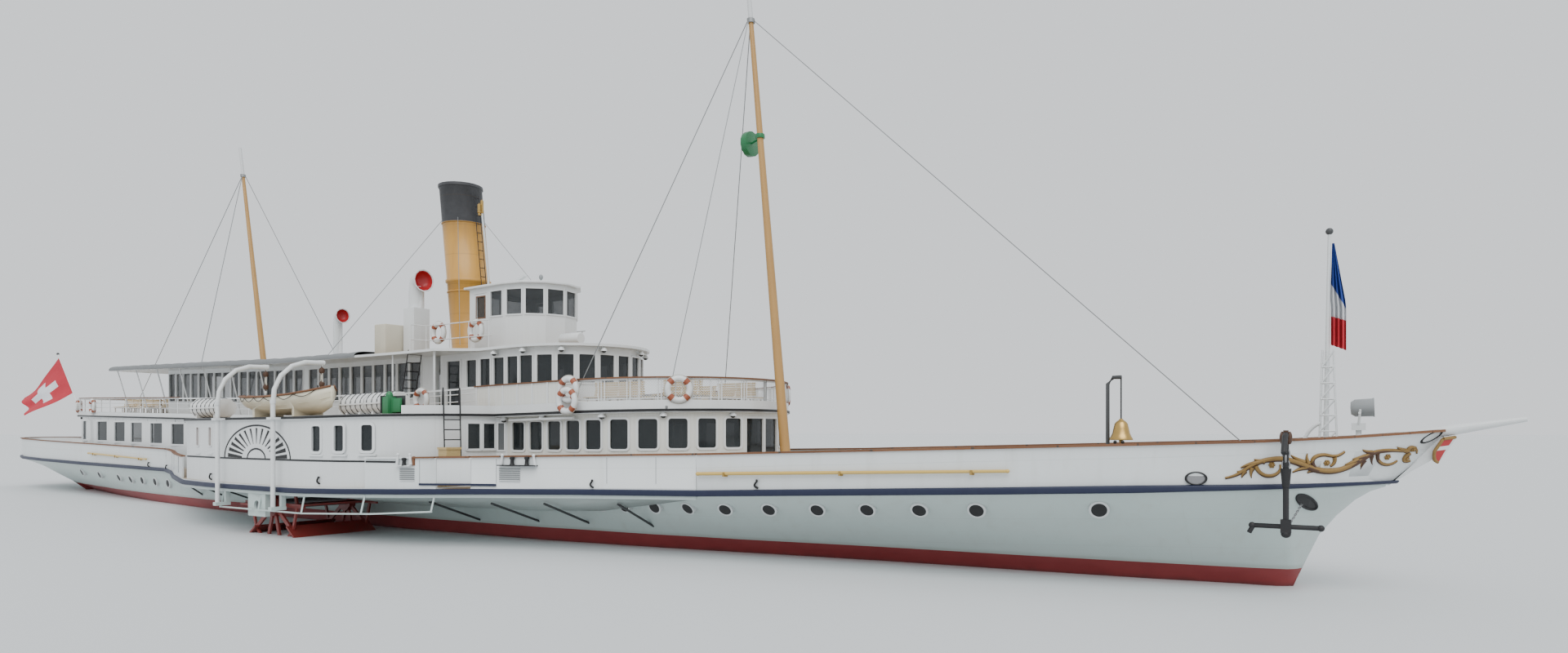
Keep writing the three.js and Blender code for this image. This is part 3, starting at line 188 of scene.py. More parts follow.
def hullFinish():
    paint = Paint("hullPaint")
    x, y, z = paint.axes()
    rise = paint.deckRise(x)
    white, mint, red = (0.72, 0.75, 0.75), (0.50, 0.585, 0.565), (0.19, 0.017, 0.02)
    cloud = paint.noise(0.35, 4)
    streak = paint.ease(paint.noise(1.2, 3, (3, 3, 0.3)), 0.5, 0.8)
    upper = paint.mix(cloud * 0.18, white, (0.6, 0.64, 0.65))
    lower = paint.mix(cloud * 0.3, mint, (0.42, 0.5, 0.49))
    bottom = paint.mix(paint.noise(1.5, 5, (1, 1, 2.5)), red, (0.29, 0.04, 0.04))
    level = z - rise
    side = paint.mix(paint.ease(level, 1.43, 1.45), lower, upper)
    side = paint.mix(streak * 0.14, side, (0.34, 0.33, 0.27))
    laps = paint.line(level + 0.12, 0.62, 0.014)             # overlapped edges of the plates
    butts = paint.line(x + 0.4, 2.4, 0.012) * (level < 1.4)
    side = paint.mix((laps * 0.16 + butts * 0.1).smaller(0.2), side, (0.33, 0.38, 0.37))
    wet = paint.ease(z - paint.noise(0.8, 3, (1, 1, 0.2)) * 0.07, 0.47, 0.37)
    side = paint.mix(wet * 0.35, side, (0.22, 0.25, 0.2))
    boot = z < 0.385
    scum = paint.ease(z + paint.noise(3, 3) * 0.1, 0.16, 0.02) * (z > -0.2)
    bottom = paint.mix(scum * 0.55, bottom, (0.05, 0.035, 0.03))
    colour = paint.mix(boot, side, bottom)
    rough = cloud * 0.2 + boot * 0.22 + 0.24
    dents = paint.noise(0.9, 2, (1, 1, 1.6)) * 1.2 + laps * 0.35 + butts * 0.25 + paint.noise(14, 2) * 0.05
    return paint.finish(colour, rough, coat=0.12, normal=paint.bump(dents, 0.28, 0.006))


def houseFinish(name, colour, boards):
    paint = Paint(name)
    x, y, z = paint.axes()
    cloud = paint.noise(0.7, 4)
    grime = paint.ease(paint.noise(1.6, 4, (4, 4, 0.4)), 0.5, 0.8)
    low = tuple(c * 0.86 for c in colour)
    base = paint.mix(cloud * 0.4, colour, low)
    base = paint.mix(grime * 0.08, base, (0.3, 0.27, 0.2))
    across = x + y
    seams = paint.line(across, boards, 0.012)
    base = paint.mix(seams * 0.22, base, (0.36, 0.37, 0.36))
    normal = paint.bump(paint.noise(2.5, 3) * 0.6 - seams * 0.5 + paint.noise(16, 2) * 0.06, 0.25, 0.004)
    return paint.finish(base, cloud * 0.15 + 0.3, coat=0.1, normal=normal)


def plankFinish(name, tone, dark, width=0.12):
    paint = Paint(name)
    x, y, z = paint.axes()
    board = paint.node("ShaderNodeMath", {"operation": "FLOOR"}, {0: y / width})
    spot = paint.node("ShaderNodeCombineXYZ", {}, {0: x * 0.25, 1: board * 3.7, 2: 0.0})
    each = paint.node("ShaderNodeTexWhiteNoise", {"noise_dimensions": "1D"}, {"W": board})
    grain = paint.node("ShaderNodeTexNoise", {}, {"Vector": spot, "Scale": 6.0, "Detail": 5.0})
    fibre = paint.noise(5, 4, (0.5, 12, 1))
    base = paint.mix(each * 0.45 + fibre * 0.3, tone, dark)
    base = paint.mix(paint.ease(grain, 0.5, 0.8) * 0.3, base, tuple(c * 0.6 for c in dark))
    seam = paint.line(y + width / 2, width, 0.008)
    butt = paint.line(x + each * 5, 5.0, 0.01)
    caulk = seam.larger(butt)
    base = paint.mix(caulk * 0.8, base, (0.03, 0.028, 0.025))
    normal = paint.bump(fibre * 0.5 - caulk * 0.8, 0.35, 0.003)
    return paint.finish(base, grain * 0.25 + 0.5, normal=normal)


def funnelFinish():
    paint = Paint("funnelPaint")
    x, y, z = paint.axes()
    ochre, black = (0.56, 0.29, 0.045), (0.018, 0.019, 0.021)
    cloud = paint.noise(0.8, 4)
    streak = paint.ease(paint.noise(1.4, 4, (4, 4, 0.3)), 0.48, 0.8)
    base = paint.mix(cloud * 0.4, ochre, (0.43, 0.205, 0.03))
    base = paint.mix(streak * 0.25, base, (0.2, 0.1, 0.03))
    soot = paint.ease(z + cloud * 0.8, 10.3, 11.1) * 0.3
    base = paint.mix(soot, base, (0.12, 0.07, 0.03))
    top = paint.mix(paint.noise(3, 4), black, (0.055, 0.055, 0.06))
    mask = z > 10.63
    colour = paint.mix(mask, base, top)
    hoops = paint.line(z - 0.35, 1.07, 0.03)
    colour = paint.mix(hoops * 0.2, colour, (0.08, 0.05, 0.02))
    normal = paint.bump(cloud * 0.8 + hoops * 0.6 + paint.noise(12, 3) * 0.08, 0.3, 0.005)
    return paint.finish(colour, cloud * 0.2 + mask * 0.15 + 0.3, coat=0.1, normal=normal)


def mastFinish():
    paint = Paint("mastPaint")
    x, y, z = paint.axes()
    tone = paint.mix(paint.noise(1.5, 4, (4, 4, 0.4)), (0.5, 0.29, 0.09), (0.38, 0.2, 0.055))
    silver = paint.ease(z, 14.86, 14.88)
    colour = paint.mix(silver, tone, (0.62, 0.63, 0.63))
    grain = paint.noise(8, 4, (4, 4, 0.5))
    return paint.finish(colour, grain * 0.25 + 0.34, coat=0.1, normal=paint.bump(grain, 0.25, 0.003))


def glassFinish(name, tint, alpha):
    paint = Paint(name)
    smear = paint.noise(1.3, 3)
    colour = paint.mix(smear, tint, tuple(min(1, c * 1.8 + 0.01) for c in tint))
    return paint.finish(colour, smear * 0.08 + 0.03, alpha=paint.ease(smear, 0.2, 0.8) * 0.08 + alpha)


def metalFinish(name, colour, rough, metal):
    paint = Paint(name)
    cloud = paint.noise(3, 4)
    spots = paint.ease(paint.noise(12, 4), 0.55, 0.75)
    base = paint.mix(cloud * 0.6, colour, tuple(c * 0.62 for c in colour))
    base = paint.mix(spots * 0.15, base, (0.12, 0.06, 0.03))
    return paint.finish(base, cloud * 0.2 + rough, metal=metal,
                        normal=paint.bump(cloud + spots * 0.3, 0.2, 0.002))


def clothFinish(name, colour, fold):
    paint = Paint(name)
    x, y, z = paint.axes()
    weave = paint.line(x + y, 0.02, 0.01) + paint.line(z + y, 0.02, 0.01)
    cloud = paint.noise(1.8, 4)
    base = paint.mix(cloud * 0.6, colour, tuple(c * 0.7 for c in colour))
    # Darker streaks running down the cloth, in the fold colour, are painted shade of folds.
    base = paint.mix(paint.ease(paint.noise(4, 4, (1, 1, 0.4)), 0.5, 0.8) * 0.2, base, fold)
    return paint.finish(base, 0.85, normal=paint.bump(cloud + weave * 0.08, 0.35, 0.004))


def slatFinish():
    paint = Paint("benchVarnish")
    grain = paint.noise(4, 5, (1, 6, 6))
    base = paint.mix(grain, (0.62, 0.47, 0.22), (0.42, 0.28, 0.1))
    return paint.finish(base, grain * 0.2 + 0.3, coat=0.3, normal=paint.bump(grain, 0.2, 0.002))


white = (0.72, 0.74, 0.74)
finishes = {
    "hull": hullFinish(),
    "house": houseFinish("housePaint", white, 0.0001 + 1.52),
    "panel": houseFinish("panelPaint", (0.73, 0.73, 0.68), 0.14),
    "white": glossPaint("whiteGloss", white, {}),
    "navy": glossPaint("navyGloss", (0.005, 0.01, 0.04),
                       {"dirt": (0.05, 0.06, 0.09), "rough": 0.5, "coat": 0.0}),
    "black": glossPaint("blackGloss", (0.007, 0.007, 0.008),
                        {"dirt": (0.04, 0.04, 0.04), "rough": 0.5, "coat": 0.0}),
    "red": glossPaint("redPaint", (0.42, 0.012, 0.016), {"rough": 0.42, "dirt": (0.08, 0.02, 0.02)}),
    "wheelRed": glossPaint("wheelRed", (0.22, 0.03, 0.025),
                           {"rough": 0.5, "streak": 0.3, "dirt": (0.07, 0.05, 0.03)}),
    "green": glossPaint("greenGloss", (0.008, 0.16, 0.05), {"rough": 0.4}),
    "blue": glossPaint("blueGloss", (0.02, 0.1, 0.3), {"rough": 0.4}),
    "grey": glossPaint("greyPaint", (0.27, 0.285, 0.29), {"shade": 0.08, "streak": 0.2, "rough": 0.5}),
    "dark": glossPaint("darkPaint", (0.045, 0.048, 0.05), {"rough": 0.55}),
    "yellow": glossPaint("yellowGloss", (0.62, 0.42, 0.11), {"rough": 0.35}),
    "gold": metalFinish("goldLeaf", (0.3, 0.18, 0.055), 0.42, 0.25),
    "umber": glossPaint("darkUmber", (0.07, 0.03, 0.014), {"rough": 0.55, "coat": 0.0}),
    "awning": clothFinish("greyCanvas", (0.2, 0.21, 0.215), (0.11, 0.11, 0.11)),
    "brass": metalFinish("polishedBrass", (0.55, 0.36, 0.12), 0.25, 1.0),
    "steel": metalFinish("forgedSteel", (0.32, 0.32, 0.33), 0.35, 0.9),
    "iron": metalFinish("blackIron", (0.03, 0.03, 0.032), 0.45, 0.4),
    "deck": plankFinish("deckPlanks", (0.4, 0.31, 0.21), (0.27, 0.2, 0.13)),
    "varnish": plankFinish("varnishedWood", (0.2, 0.085, 0.035), (0.11, 0.045, 0.02), 0.3),
    "funnel": funnelFinish(),
    "mast": mastFinish(),
    "glass": glassFinish("windowGlass", (0.012, 0.016, 0.018), 0.62),
    "clear": glassFinish("shelterGlass", (0.02, 0.025, 0.028), 0.42),
    "canvas": clothFinish("creamCanvas", (0.62, 0.58, 0.47), (0.42, 0.38, 0.28)),
    "bench": slatFinish(),
    "ringBrown": glossPaint("ringBrown", (0.3, 0.075, 0.03), {"rough": 0.5}),
    "rope": clothFinish("ropeFibre", (0.55, 0.52, 0.45), (0.3, 0.28, 0.22)),
    "plastic": glossPaint("canisterPlastic", (0.74, 0.75, 0.74), {"rough": 0.4, "shade": 0.03}),
    "steelPaint": glossPaint("paleSteelPaint", (0.6, 0.63, 0.63), {"rough": 0.35}),
    "cream": glossPaint("creamPaint", (0.74, 0.7, 0.55), {"rough": 0.35}),
    "wire": metalFinish("wireRope", (0.3, 0.31, 0.31), 0.4, 0.6),
}
print("materials ready:", len(finishes))


# Mesh helpers
def toObject(bm, name, finish, body="ship", smooth=35, replaces=()):
    bmesh.ops.scale(bm, vec=(modelScale,) * 3, verts=bm.verts)
    mesh = bpy.data.meshes.new(name)
    bm.to_mesh(mesh)
    bm.free()
    piece = bpy.data.objects.new(name, mesh)
    bpy.context.scene.collection.objects.link(piece)
    mesh.materials.append(finishes[finish])
    if smooth:
        mesh.shade_smooth()
        mesh.set_sharp_from_angle(angle=math.radians(smooth))
    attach(piece, body)
    if replaces:
        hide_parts(*replaces)
    return piece


def addBox(bm, low, high, turn=None):
    size = Vector(high) - Vector(low)
    middle = (Vector(high) + Vector(low)) / 2
    spot = Matrix.Translation(middle) @ (turn or Matrix()) @ Matrix.Diagonal((*size, 1))
    return bmesh.ops.create_cube(bm, size=1, matrix=spot)["verts"]


def addRod(bm, start, end, radius, tip=None, sides=10):
    start, end = Vector(start), Vector(end)
    along = end - start
    turn = along.to_track_quat("Z", "Y").to_matrix().to_4x4()
    spot = Matrix.Translation((start + end) / 2) @ turn
    return bmesh.ops.create_cone(bm, cap_ends=True, segments=sides, radius1=radius,
                                 radius2=radius if tip is None else tip, depth=along.length,
                                 matrix=spot)["verts"]


def addBall(bm, middle, radius, squash=(1, 1, 1), sides=16):
    spot = Matrix.Translation(middle) @ Matrix.Diagonal((*squash, 1))
    return bmesh.ops.create_uvsphere(bm, u_segments=sides, v_segments=sides // 2, radius=radius,
                                     matrix=spot)["verts"]


def facing(middle, normal, turn=0):                          # a place whose Z looks along the normal
    spin = Vector(normal).to_track_quat("Z", "Y").to_matrix().to_4x4()
    return Matrix.Translation(middle) @ spin @ Matrix.Rotation(turn, 4, "Z")


def addHoop(bm, spot, radius, gauge, sides=24, round_=8):
    start = Matrix.Translation((radius, 0, 0)) @ Matrix.Rotation(math.pi / 2, 4, "X")
    ring = bmesh.ops.create_circle(bm, segments=round_, radius=gauge, matrix=start)
    edges = list({edge for vert in ring["verts"] for edge in vert.link_edges})
    bmesh.ops.spin(bm, geom=ring["verts"] + edges, cent=(0, 0, 0), axis=(0, 0, 1), angle=math.tau,
                   steps=sides, use_merge=True, use_duplicate=False)
    verts = {v for e in edges if e.is_valid for f in e.link_faces for v in f.verts}
    found, todo = set(verts), list(verts)
    while todo:
        for edge in todo.pop().link_edges:
            for vert in edge.verts:
                if vert not in found:
                    found.add(vert)
                    todo.append(vert)
    bmesh.ops.transform(bm, matrix=spot, verts=list(found))
    return list(found)


# A shape turned on a lathe, from [radius, height] pairs
def addTurned(bm, spot, profile, sides=20):
    verts = [bm.verts.new((r, 0, h)) for r, h in profile]
    edges = [bm.edges.new(pair) for pair in zip(verts, verts[1:])]
    before = set(bm.verts) - set(verts)
    bmesh.ops.spin(bm, geom=verts + edges, cent=(0, 0, 0), axis=(0, 0, 1), angle=math.tau, steps=sides,
                   use_merge=True, use_duplicate=False)
    made = [v for v in bm.verts if v not in before]
    bmesh.ops.transform(bm, matrix=spot, verts=made)
    return made


def addFrame(bm, spot, width, height, bar, depth, corner=0):  # a flat picture frame, its back on the place
    made = bmesh.ops.create_grid(bm, x_segments=1, y_segments=1, size=0.5,
                                 matrix=Matrix.Diagonal((width, height, 1, 1)))["verts"]
    if corner:
        made = bmesh.ops.bevel(bm, geom=made, offset=corner, affect="VERTICES", segments=4, profile=0.5,
                               material=-1)["verts"]
    face = made[0].link_faces[0]
    ring = bmesh.ops.inset_region(bm, faces=[face], thickness=bar, use_even_offset=True,
                                  use_boundary=True)["faces"]
    bmesh.ops.delete(bm, geom=[face], context="FACES_ONLY")
    bottom = list({v for f in ring for v in f.verts})
    grown = bmesh.ops.extrude_face_region(bm, geom=ring, use_keep_orig=True)["geom"]
    top = [v for v in grown if isinstance(v, bmesh.types.BMVert)]
    bmesh.ops.translate(bm, vec=(0, 0, depth), verts=top)
    bmesh.ops.transform(bm, matrix=spot, verts=bottom + top)
    bmesh.ops.recalc_face_normals(bm, faces=list({f for v in bottom + top for f in v.link_faces}))


def pipes(name, paths, radius, finish, body="ship", smooth=False, sides=2, taper=None):
    curve = bpy.data.curves.new(name, "CURVE")
    curve.dimensions = "3D"
    curve.bevel_depth = radius * modelScale
    curve.bevel_resolution = sides
    curve.resolution_u = 6
    curve.use_fill_caps = True
    for path in paths:
        spline = curve.splines.new("NURBS" if smooth else "POLY")
        spline.points.add(len(path) - 1)
        for i, (point, spot) in enumerate(zip(spline.points, path)):
            point.co = (*(Vector(spot) * modelScale), 1)
            if taper:
                point.radius = taper(i / (len(path) - 1))
        if smooth:
            spline.order_u = 4
            spline.use_endpoint_u = True
    piece = bpy.data.objects.new(name, curve)
    bpy.context.scene.collection.objects.link(piece)
    curve.materials.append(finishes[finish])
    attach(piece, body)
    return piece


skins = {}


# Where a line meets a node, and which way the skin looks
def hitSkin(node, start, aim):
    if node not in skins:
        mesh = nodes[node].data
        mesh.calc_loop_triangles()
        spots = [v.co / modelScale for v in mesh.vertices]
        skins[node] = BVHTree.FromPolygons(spots, [t.vertices for t in mesh.loop_triangles])
    spot, normal, _, _ = skins[node].ray_cast(Vector(start), Vector(aim).normalized())
    return spot, normal


def sideSpot(node, x, z, sign):
    return hitSkin(node, (x, sign * 12, z), (0, -sign, 0))


def outerSpot(x, z, side, sign, proud=0.0):                  # the outermost skin of the boat's side
    hits = [sideSpot(node, x, z, sign) for node in (
        "paddle_box_" + side, "sponson_" + side, "gangway_gate_" + side, "hull")]
    spot, normal = max((hit for hit in hits if hit[0]), key=lambda hit: abs(hit[0].y))
    return spot + normal * proud


# On the hull's side: X runs forward and down by the tilt
def bowPlace(x, z, sign, tilt, proud=0.0):
    spot, out = sideSpot("hull", x, z, sign)
    ahead = (Vector((1, 0, 0)) - out * out.x).normalized()
    rise = out.cross(ahead)
    rise *= 1 if rise.z > 0 else -1
    along = ahead * math.cos(math.radians(tilt)) - rise * math.sin(math.radians(tilt))
    turn = Matrix((along, out.cross(along), out)).transposed().to_4x4()
    return Matrix.Translation(spot + out * proud) @ turn


# A copy of a CAD node with its seams joined, its flat parts merged and its edges eased
def dress(node, finish, edge=0.0, smooth=32, top=None):
    bm = bmesh.new()
    bm.from_mesh(nodes[node].data)
    bmesh.ops.scale(bm, vec=(1 / modelScale,) * 3, verts=bm.verts)
    bmesh.ops.remove_doubles(bm, verts=bm.verts, dist=0.0004)
    if node != "hull":
        bmesh.ops.dissolve_limit(bm, angle_limit=math.radians(1), verts=bm.verts, edges=bm.edges)
    if edge:
        sharp = [e for e in bm.edges if len(e.link_faces) == 2 and e.calc_face_angle(0) > math.radians(30)]
        bmesh.ops.bevel(bm, geom=sharp, offset=edge, affect="EDGES", segments=2, profile=0.5, material=-1,
                        clamp_overlap=True)
    body = next(b for b, members in frame["record"]["behaviour"]["bodies"].items() if node in members)
    piece = toObject(bm, node + "_skin", finish, body, smooth, [node])
    if node == "hull":
        piece.modifiers.new("evenShading", "WEIGHTED_NORMAL").keep_sharp = True
    # What faces up and is walked on has its own finish
    if top:
        piece.data.materials.append(finishes[top])
        for face in piece.data.polygons:
            if face.normal.z > 0.7 and face.center.z > 0.7:
                face.material_index = 1
    return piece


def mainRise(x):
    if x > 14.4:
        return 0.217 + 0.037 * (x - 14.4)
    if x > 2:
        return 0.0175 * (x - 2)
    return 0.009 * (-6 - x) if x < -6 else 0


def upperRise(x):
    if x > 2:
        return 0.0175 * (x - 2)
    return 0.0195 * (-6 - x) if x < -6 else 0


# A height given as if amidships, at its place along the boat
def lifted(x, z):
    share = min(1, max(0, (z - 1.55) / 2.01))
    return z + mainRise(x) + (upperRise(x) - mainRise(x)) * share


# Stage, light and camera
stageSet = {"floor": 900, "sky": (0.84, 0.87, 0.9), "skyPower": 1.2, "sun": 2.1}
bpy.ops.mesh.primitive_plane_add(size=stageSet["floor"], location=(0, 0, 0))
floor = bpy.context.object
floor.name = "floor"
floorPaint = Paint("paleFloor")
floor.data.materials.append(floorPaint.finish((0.62, 0.64, 0.65), 0.7))

world = bpy.context.scene.world or bpy.data.worlds.new("sky")
bpy.context.scene.world = world
world.use_nodes = True
sky = world.node_tree.nodes["Background"]
sky.inputs[0].default_value = (*stageSet["sky"], 1)
sky.inputs[1].default_value = stageSet["skyPower"]

sunLight = bpy.data.lights.new("softSun", "SUN")
sunLight.energy = stageSet["sun"]
sunLight.angle = math.radians(50)
sun = bpy.data.objects.new("softSun", sunLight)
bpy.context.scene.collection.objects.link(sun)
sun.rotation_euler = (math.radians(38), math.radians(8), math.radians(25))

view = {"place": (13.955, -10.455, 1.5725), "turn": 33.29, "lens": 20.625, "rise": 0.0667}
lens = bpy.data.cameras.new("camera")
lens.sensor_width = 36
lens.lens = view["lens"]
lens.shift_y = view["rise"]
lens.clip_end = 2000
camera = bpy.data.objects.new("camera", lens)
bpy.context.scene.collection.objects.link(camera)
camera.location = view["place"]
camera.rotation_euler = (math.pi / 2, 0, math.radians(view["turn"]))
bpy.context.scene.camera = camera
print("stage, light and camera ready")

# Hull, decks, houses and the other CAD pieces
dressList = {
    "hull": ("hull", 0, 40), "main_deck_aft": ("white", 0, 30, "deck"),
    "main_deck_middle": ("white", 0, 30, "deck"),
    "main_deck_fore": ("white", 0, 30, "deck"), "rubbing_strake": ("navy", 0.012, 40),
    "sponson_starboard": ("hull", 0, 35, "deck"), "sponson_port": ("hull", 0, 35, "deck"),
    "gangway_gate_starboard": ("white", 0.01, 30), "gangway_gate_port": ("white", 0.01, 30),
    "paddle_box_starboard": ("house", 0, 40), "paddle_box_port": ("house", 0, 40),
    "paddle_shaft": ("steel", 0.01, 40), "paddle_wheel_starboard": ("wheelRed", 0, 35),
    "paddle_wheel_port": ("wheelRed", 0, 35), "rudder": ("wheelRed", 0.012, 35), "engine": ("grey", 0.03, 35),
    "boiler": ("iron", 0.03, 40), "fore_saloon": ("panel", 0, 20), "aft_saloon": ("house", 0, 20),
    "promenade_deck": ("white", 0, 30, "deck"), "funnel_casing": ("white", 0.01, 30),
    "aft_railing": ("white", 0, 40),
    "fore_railing": ("white", 0, 40), "upper_saloon": ("white", 0, 20), "glazed_shelter": ("white", 0, 20),
    "awning_deck": ("white", 0, 30, "grey"), "bridge_deck": ("white", 0, 30, "deck"),
    "wheelhouse": ("white", 0, 30),
    "wheelhouse_roof": ("white", 0.02, 30), "wheelhouse_door_starboard": ("white", 0.006, 30),
    "wheelhouse_door_port": ("white", 0.006, 30), "funnel": ("funnel", 0, 35),
    "steam_pipe": ("funnel", 0, 50),
    "big_cowl": ("white", 0, 50), "aft_cowl": ("white", 0, 50), "fore_mast": ("mast", 0, 50),
    "main_mast": ("mast", 0, 50), "signal_ball": ("green", 0.02, 45), "fore_stays": ("wire", 0, 40),
    "main_stays": ("wire", 0, 40), "davit_aft_starboard": ("white", 0, 60),
    "davit_aft_port": ("white", 0, 60),
    "davit_fore_starboard": ("white", 0, 60), "davit_fore_port": ("white", 0, 60),
    "rafts_fore_starboard": ("plastic", 0, 50), "rafts_fore_port": ("plastic", 0, 50),
    "raft_aft_starboard": ("plastic", 0, 50), "raft_aft_port": ("plastic", 0, 50),
    "lifeboat_starboard": ("cream", 0, 60), "lifeboat_port": ("cream", 0, 60),
    "bridge_locker": ("canvas", 0.03, 40),
    "side_lamp_starboard": ("green", 0.01, 30), "side_lamp_port": ("red", 0.01, 30),
    "bowsprit": ("white", 0, 50),
    "jackstaff": ("white", 0, 50), "ensign_staff": ("white", 0, 50), "anchor": ("iron", 0, 50),
    "bell_post": ("dark", 0, 50),
}
for node, look in dressList.items():
    dress(node, *look)
print("CAD pieces dressed:", len(dressList))

# Glass and frames in the windows
def wallSpot(x, y, z, normal):                               # a place on a wall: X along it, Y up, Z outwards
    out = Vector((normal[0], normal[1], 0)).normalized()
    along = Vector((-out.y, out.x, 0))
    turn = Matrix((along, (0, 0, 1), out)).transposed().to_4x4()
    return Matrix.Translation((x, y, z)) @ turn


def addWindow(glass, frames, spot, width, height, bar=0.05, proud=0.025, corner=0):
    pane = (spot @ Matrix.Translation((0, 0, -0.035))
            @ Matrix.Diagonal((width + 0.02, height + 0.02, 0.012, 1)))
    bmesh.ops.create_cube(glass, size=1, matrix=pane)
    addFrame(frames, spot, width + bar * 2, height + bar * 2, bar + 0.006, proud, corner)


# The middle and outward way of each facet of a round front
def roundWall(centre, radius, facets, skip=()):
    for i in range(facets):
        angle = math.pi / 2 - math.pi * (i + 0.5) / facets
        reach = radius * math.cos(math.pi / facets / 2)
        if i not in skip:
            outward = (math.cos(angle), math.sin(angle))
            yield centre + reach * outward[0], reach * outward[1], outward


def straightWall(places, half):
    for x in places:
        for sign in (-1, 1):
            yield x, sign * half(x), (0, sign)


def between(table, x):
    for (x0, y0), (x1, y1) in zip(table, table[1:]):
        if min(x0, x1) <= x <= max(x0, x1):
            return y0 + (y1 - y0) * (x - x0) / (x1 - x0)
    return table[-1][1]


aftWall = [(-26.1, 2.6), (-24, 2.84), (-18, 3.14), (-12.5, 3.3), (-6.4, 3.34)]
windowRows = {
    "fore_saloon": {"width": 0.52, "low": 2.5, "high": 3.3, "glass": "glass", "bar": 0.055, "corner": 0.13,
                    "walls": [
        *roundWall(9.95, 3.55, 14, (6, 7)), *straightWall((7.4, 8.14, 8.88, 9.62), lambda x: 3.55)]},
    "fore_saloon_doors": {"width": 0.7, "low": 1.75, "high": 3.3, "glass": "glass", "bar": 0.05, "walls": [
        wall for i, wall in enumerate(roundWall(9.95, 3.55, 14)) if i in (6, 7)]},
    "aft_saloon": {"width": 1.15, "low": 2.47, "high": 3.3, "glass": "glass", "bar": 0.07, "walls": [
        *straightWall((-25.2, -22.9, -20.65, -18.6, -16.45, -14.3, -12.0, -9.7),
                      lambda x: between(aftWall, x))]},
    "upper_saloon": {"width": 0.49, "low": 4.53, "high": 5.4, "glass": "glass", "bar": 0.05, "corner": 0.08,
                     "walls": [
        *roundWall(5.87, 2.27, 11), *straightWall((3.66, 4.325, 4.99, 5.62), lambda x: 2.27)]},
    "upper_doors": {"width": 0.66, "low": 3.7, "high": 5.42, "glass": "glass", "bar": 0.05, "walls": [
        *straightWall((2.75,), lambda x: 2.27)]},
    "shelter": {"width": 0.6, "low": 4.25, "high": 5.48, "glass": "clear", "bar": 0.03, "walls": [
        *straightWall([-17.08 + 0.7 * i for i in range(16)] + [-5.55 + 0.7 * i for i in range(10)],
                      lambda x: 2.3)]},
    "wheelhouse": {"width": 0.57, "low": 6.92, "high": 7.74, "glass": "clear", "bar": 0.04, "walls": [
        *roundWall(4.15, 1.35, 6), *straightWall((3.72,), lambda x: 1.35)]},
    "wheelhouse_aft": {"width": 1.0, "low": 6.92, "high": 7.74, "glass": "clear", "bar": 0.04, "walls": [
        (2.35, -0.6, (-1, 0)), (2.35, 0.6, (-1, 0))]},
    "shelter_ends": {"width": 1.34, "low": 4.25, "high": 5.48, "glass": "clear", "bar": 0.03, "walls": [
        (-17.5, -1.425, (-1, 0)), (-17.5, 1.425, (-1, 0))]},
}
for row, kind in windowRows.items():
    glass, frames = bmesh.new(), bmesh.new()
    for x, y, normal in kind["walls"]:
        low, high = lifted(x, kind["low"]), lifted(x, kind["high"])
        place = wallSpot(x, y, (low + high) / 2, normal)
        addWindow(glass, frames, place, kind["width"], high - low, kind["bar"], corner=kind.get("corner", 0))
    toObject(glass, row + "_glass", kind["glass"], smooth=0)
    toObject(frames, row + "_frames", "white", smooth=0)

boxSide = [(-5.9, 6.35), (-5.7, 6.56), (-5.2, 6.79), (-2.5, 7.09), (2.5, 7.09), (4, 6.89), (4.8, 6.6),
           (5.5, 6.12),
           (6.1, 5.45), (6.5, 4.65)]
boxWindows = [
    {"x": 3.06, "width": 0.36, "low": 2.55, "bar": 0.07, "glass": "glass"},
    {"x": 3.98, "width": 0.36, "low": 2.55, "bar": 0.07, "glass": "glass"},
    {"x": 4.82, "width": 0.32, "low": 2.55, "bar": 0.07, "glass": "glass"},
    {"x": -4.14, "width": 0.22, "low": 2.67, "bar": 0.03, "glass": "varnish"},
    {"x": -3.04, "width": 0.22, "low": 2.67, "bar": 0.03, "glass": "varnish"}]


def boxSpot(x, z, sign):                                     # a place on the paddle box's side
    run = between(boxSide, x + 0.05) - between(boxSide, x - 0.05)
    return wallSpot(x, sign * between(boxSide, x), z, (-run, 0.1 * sign))


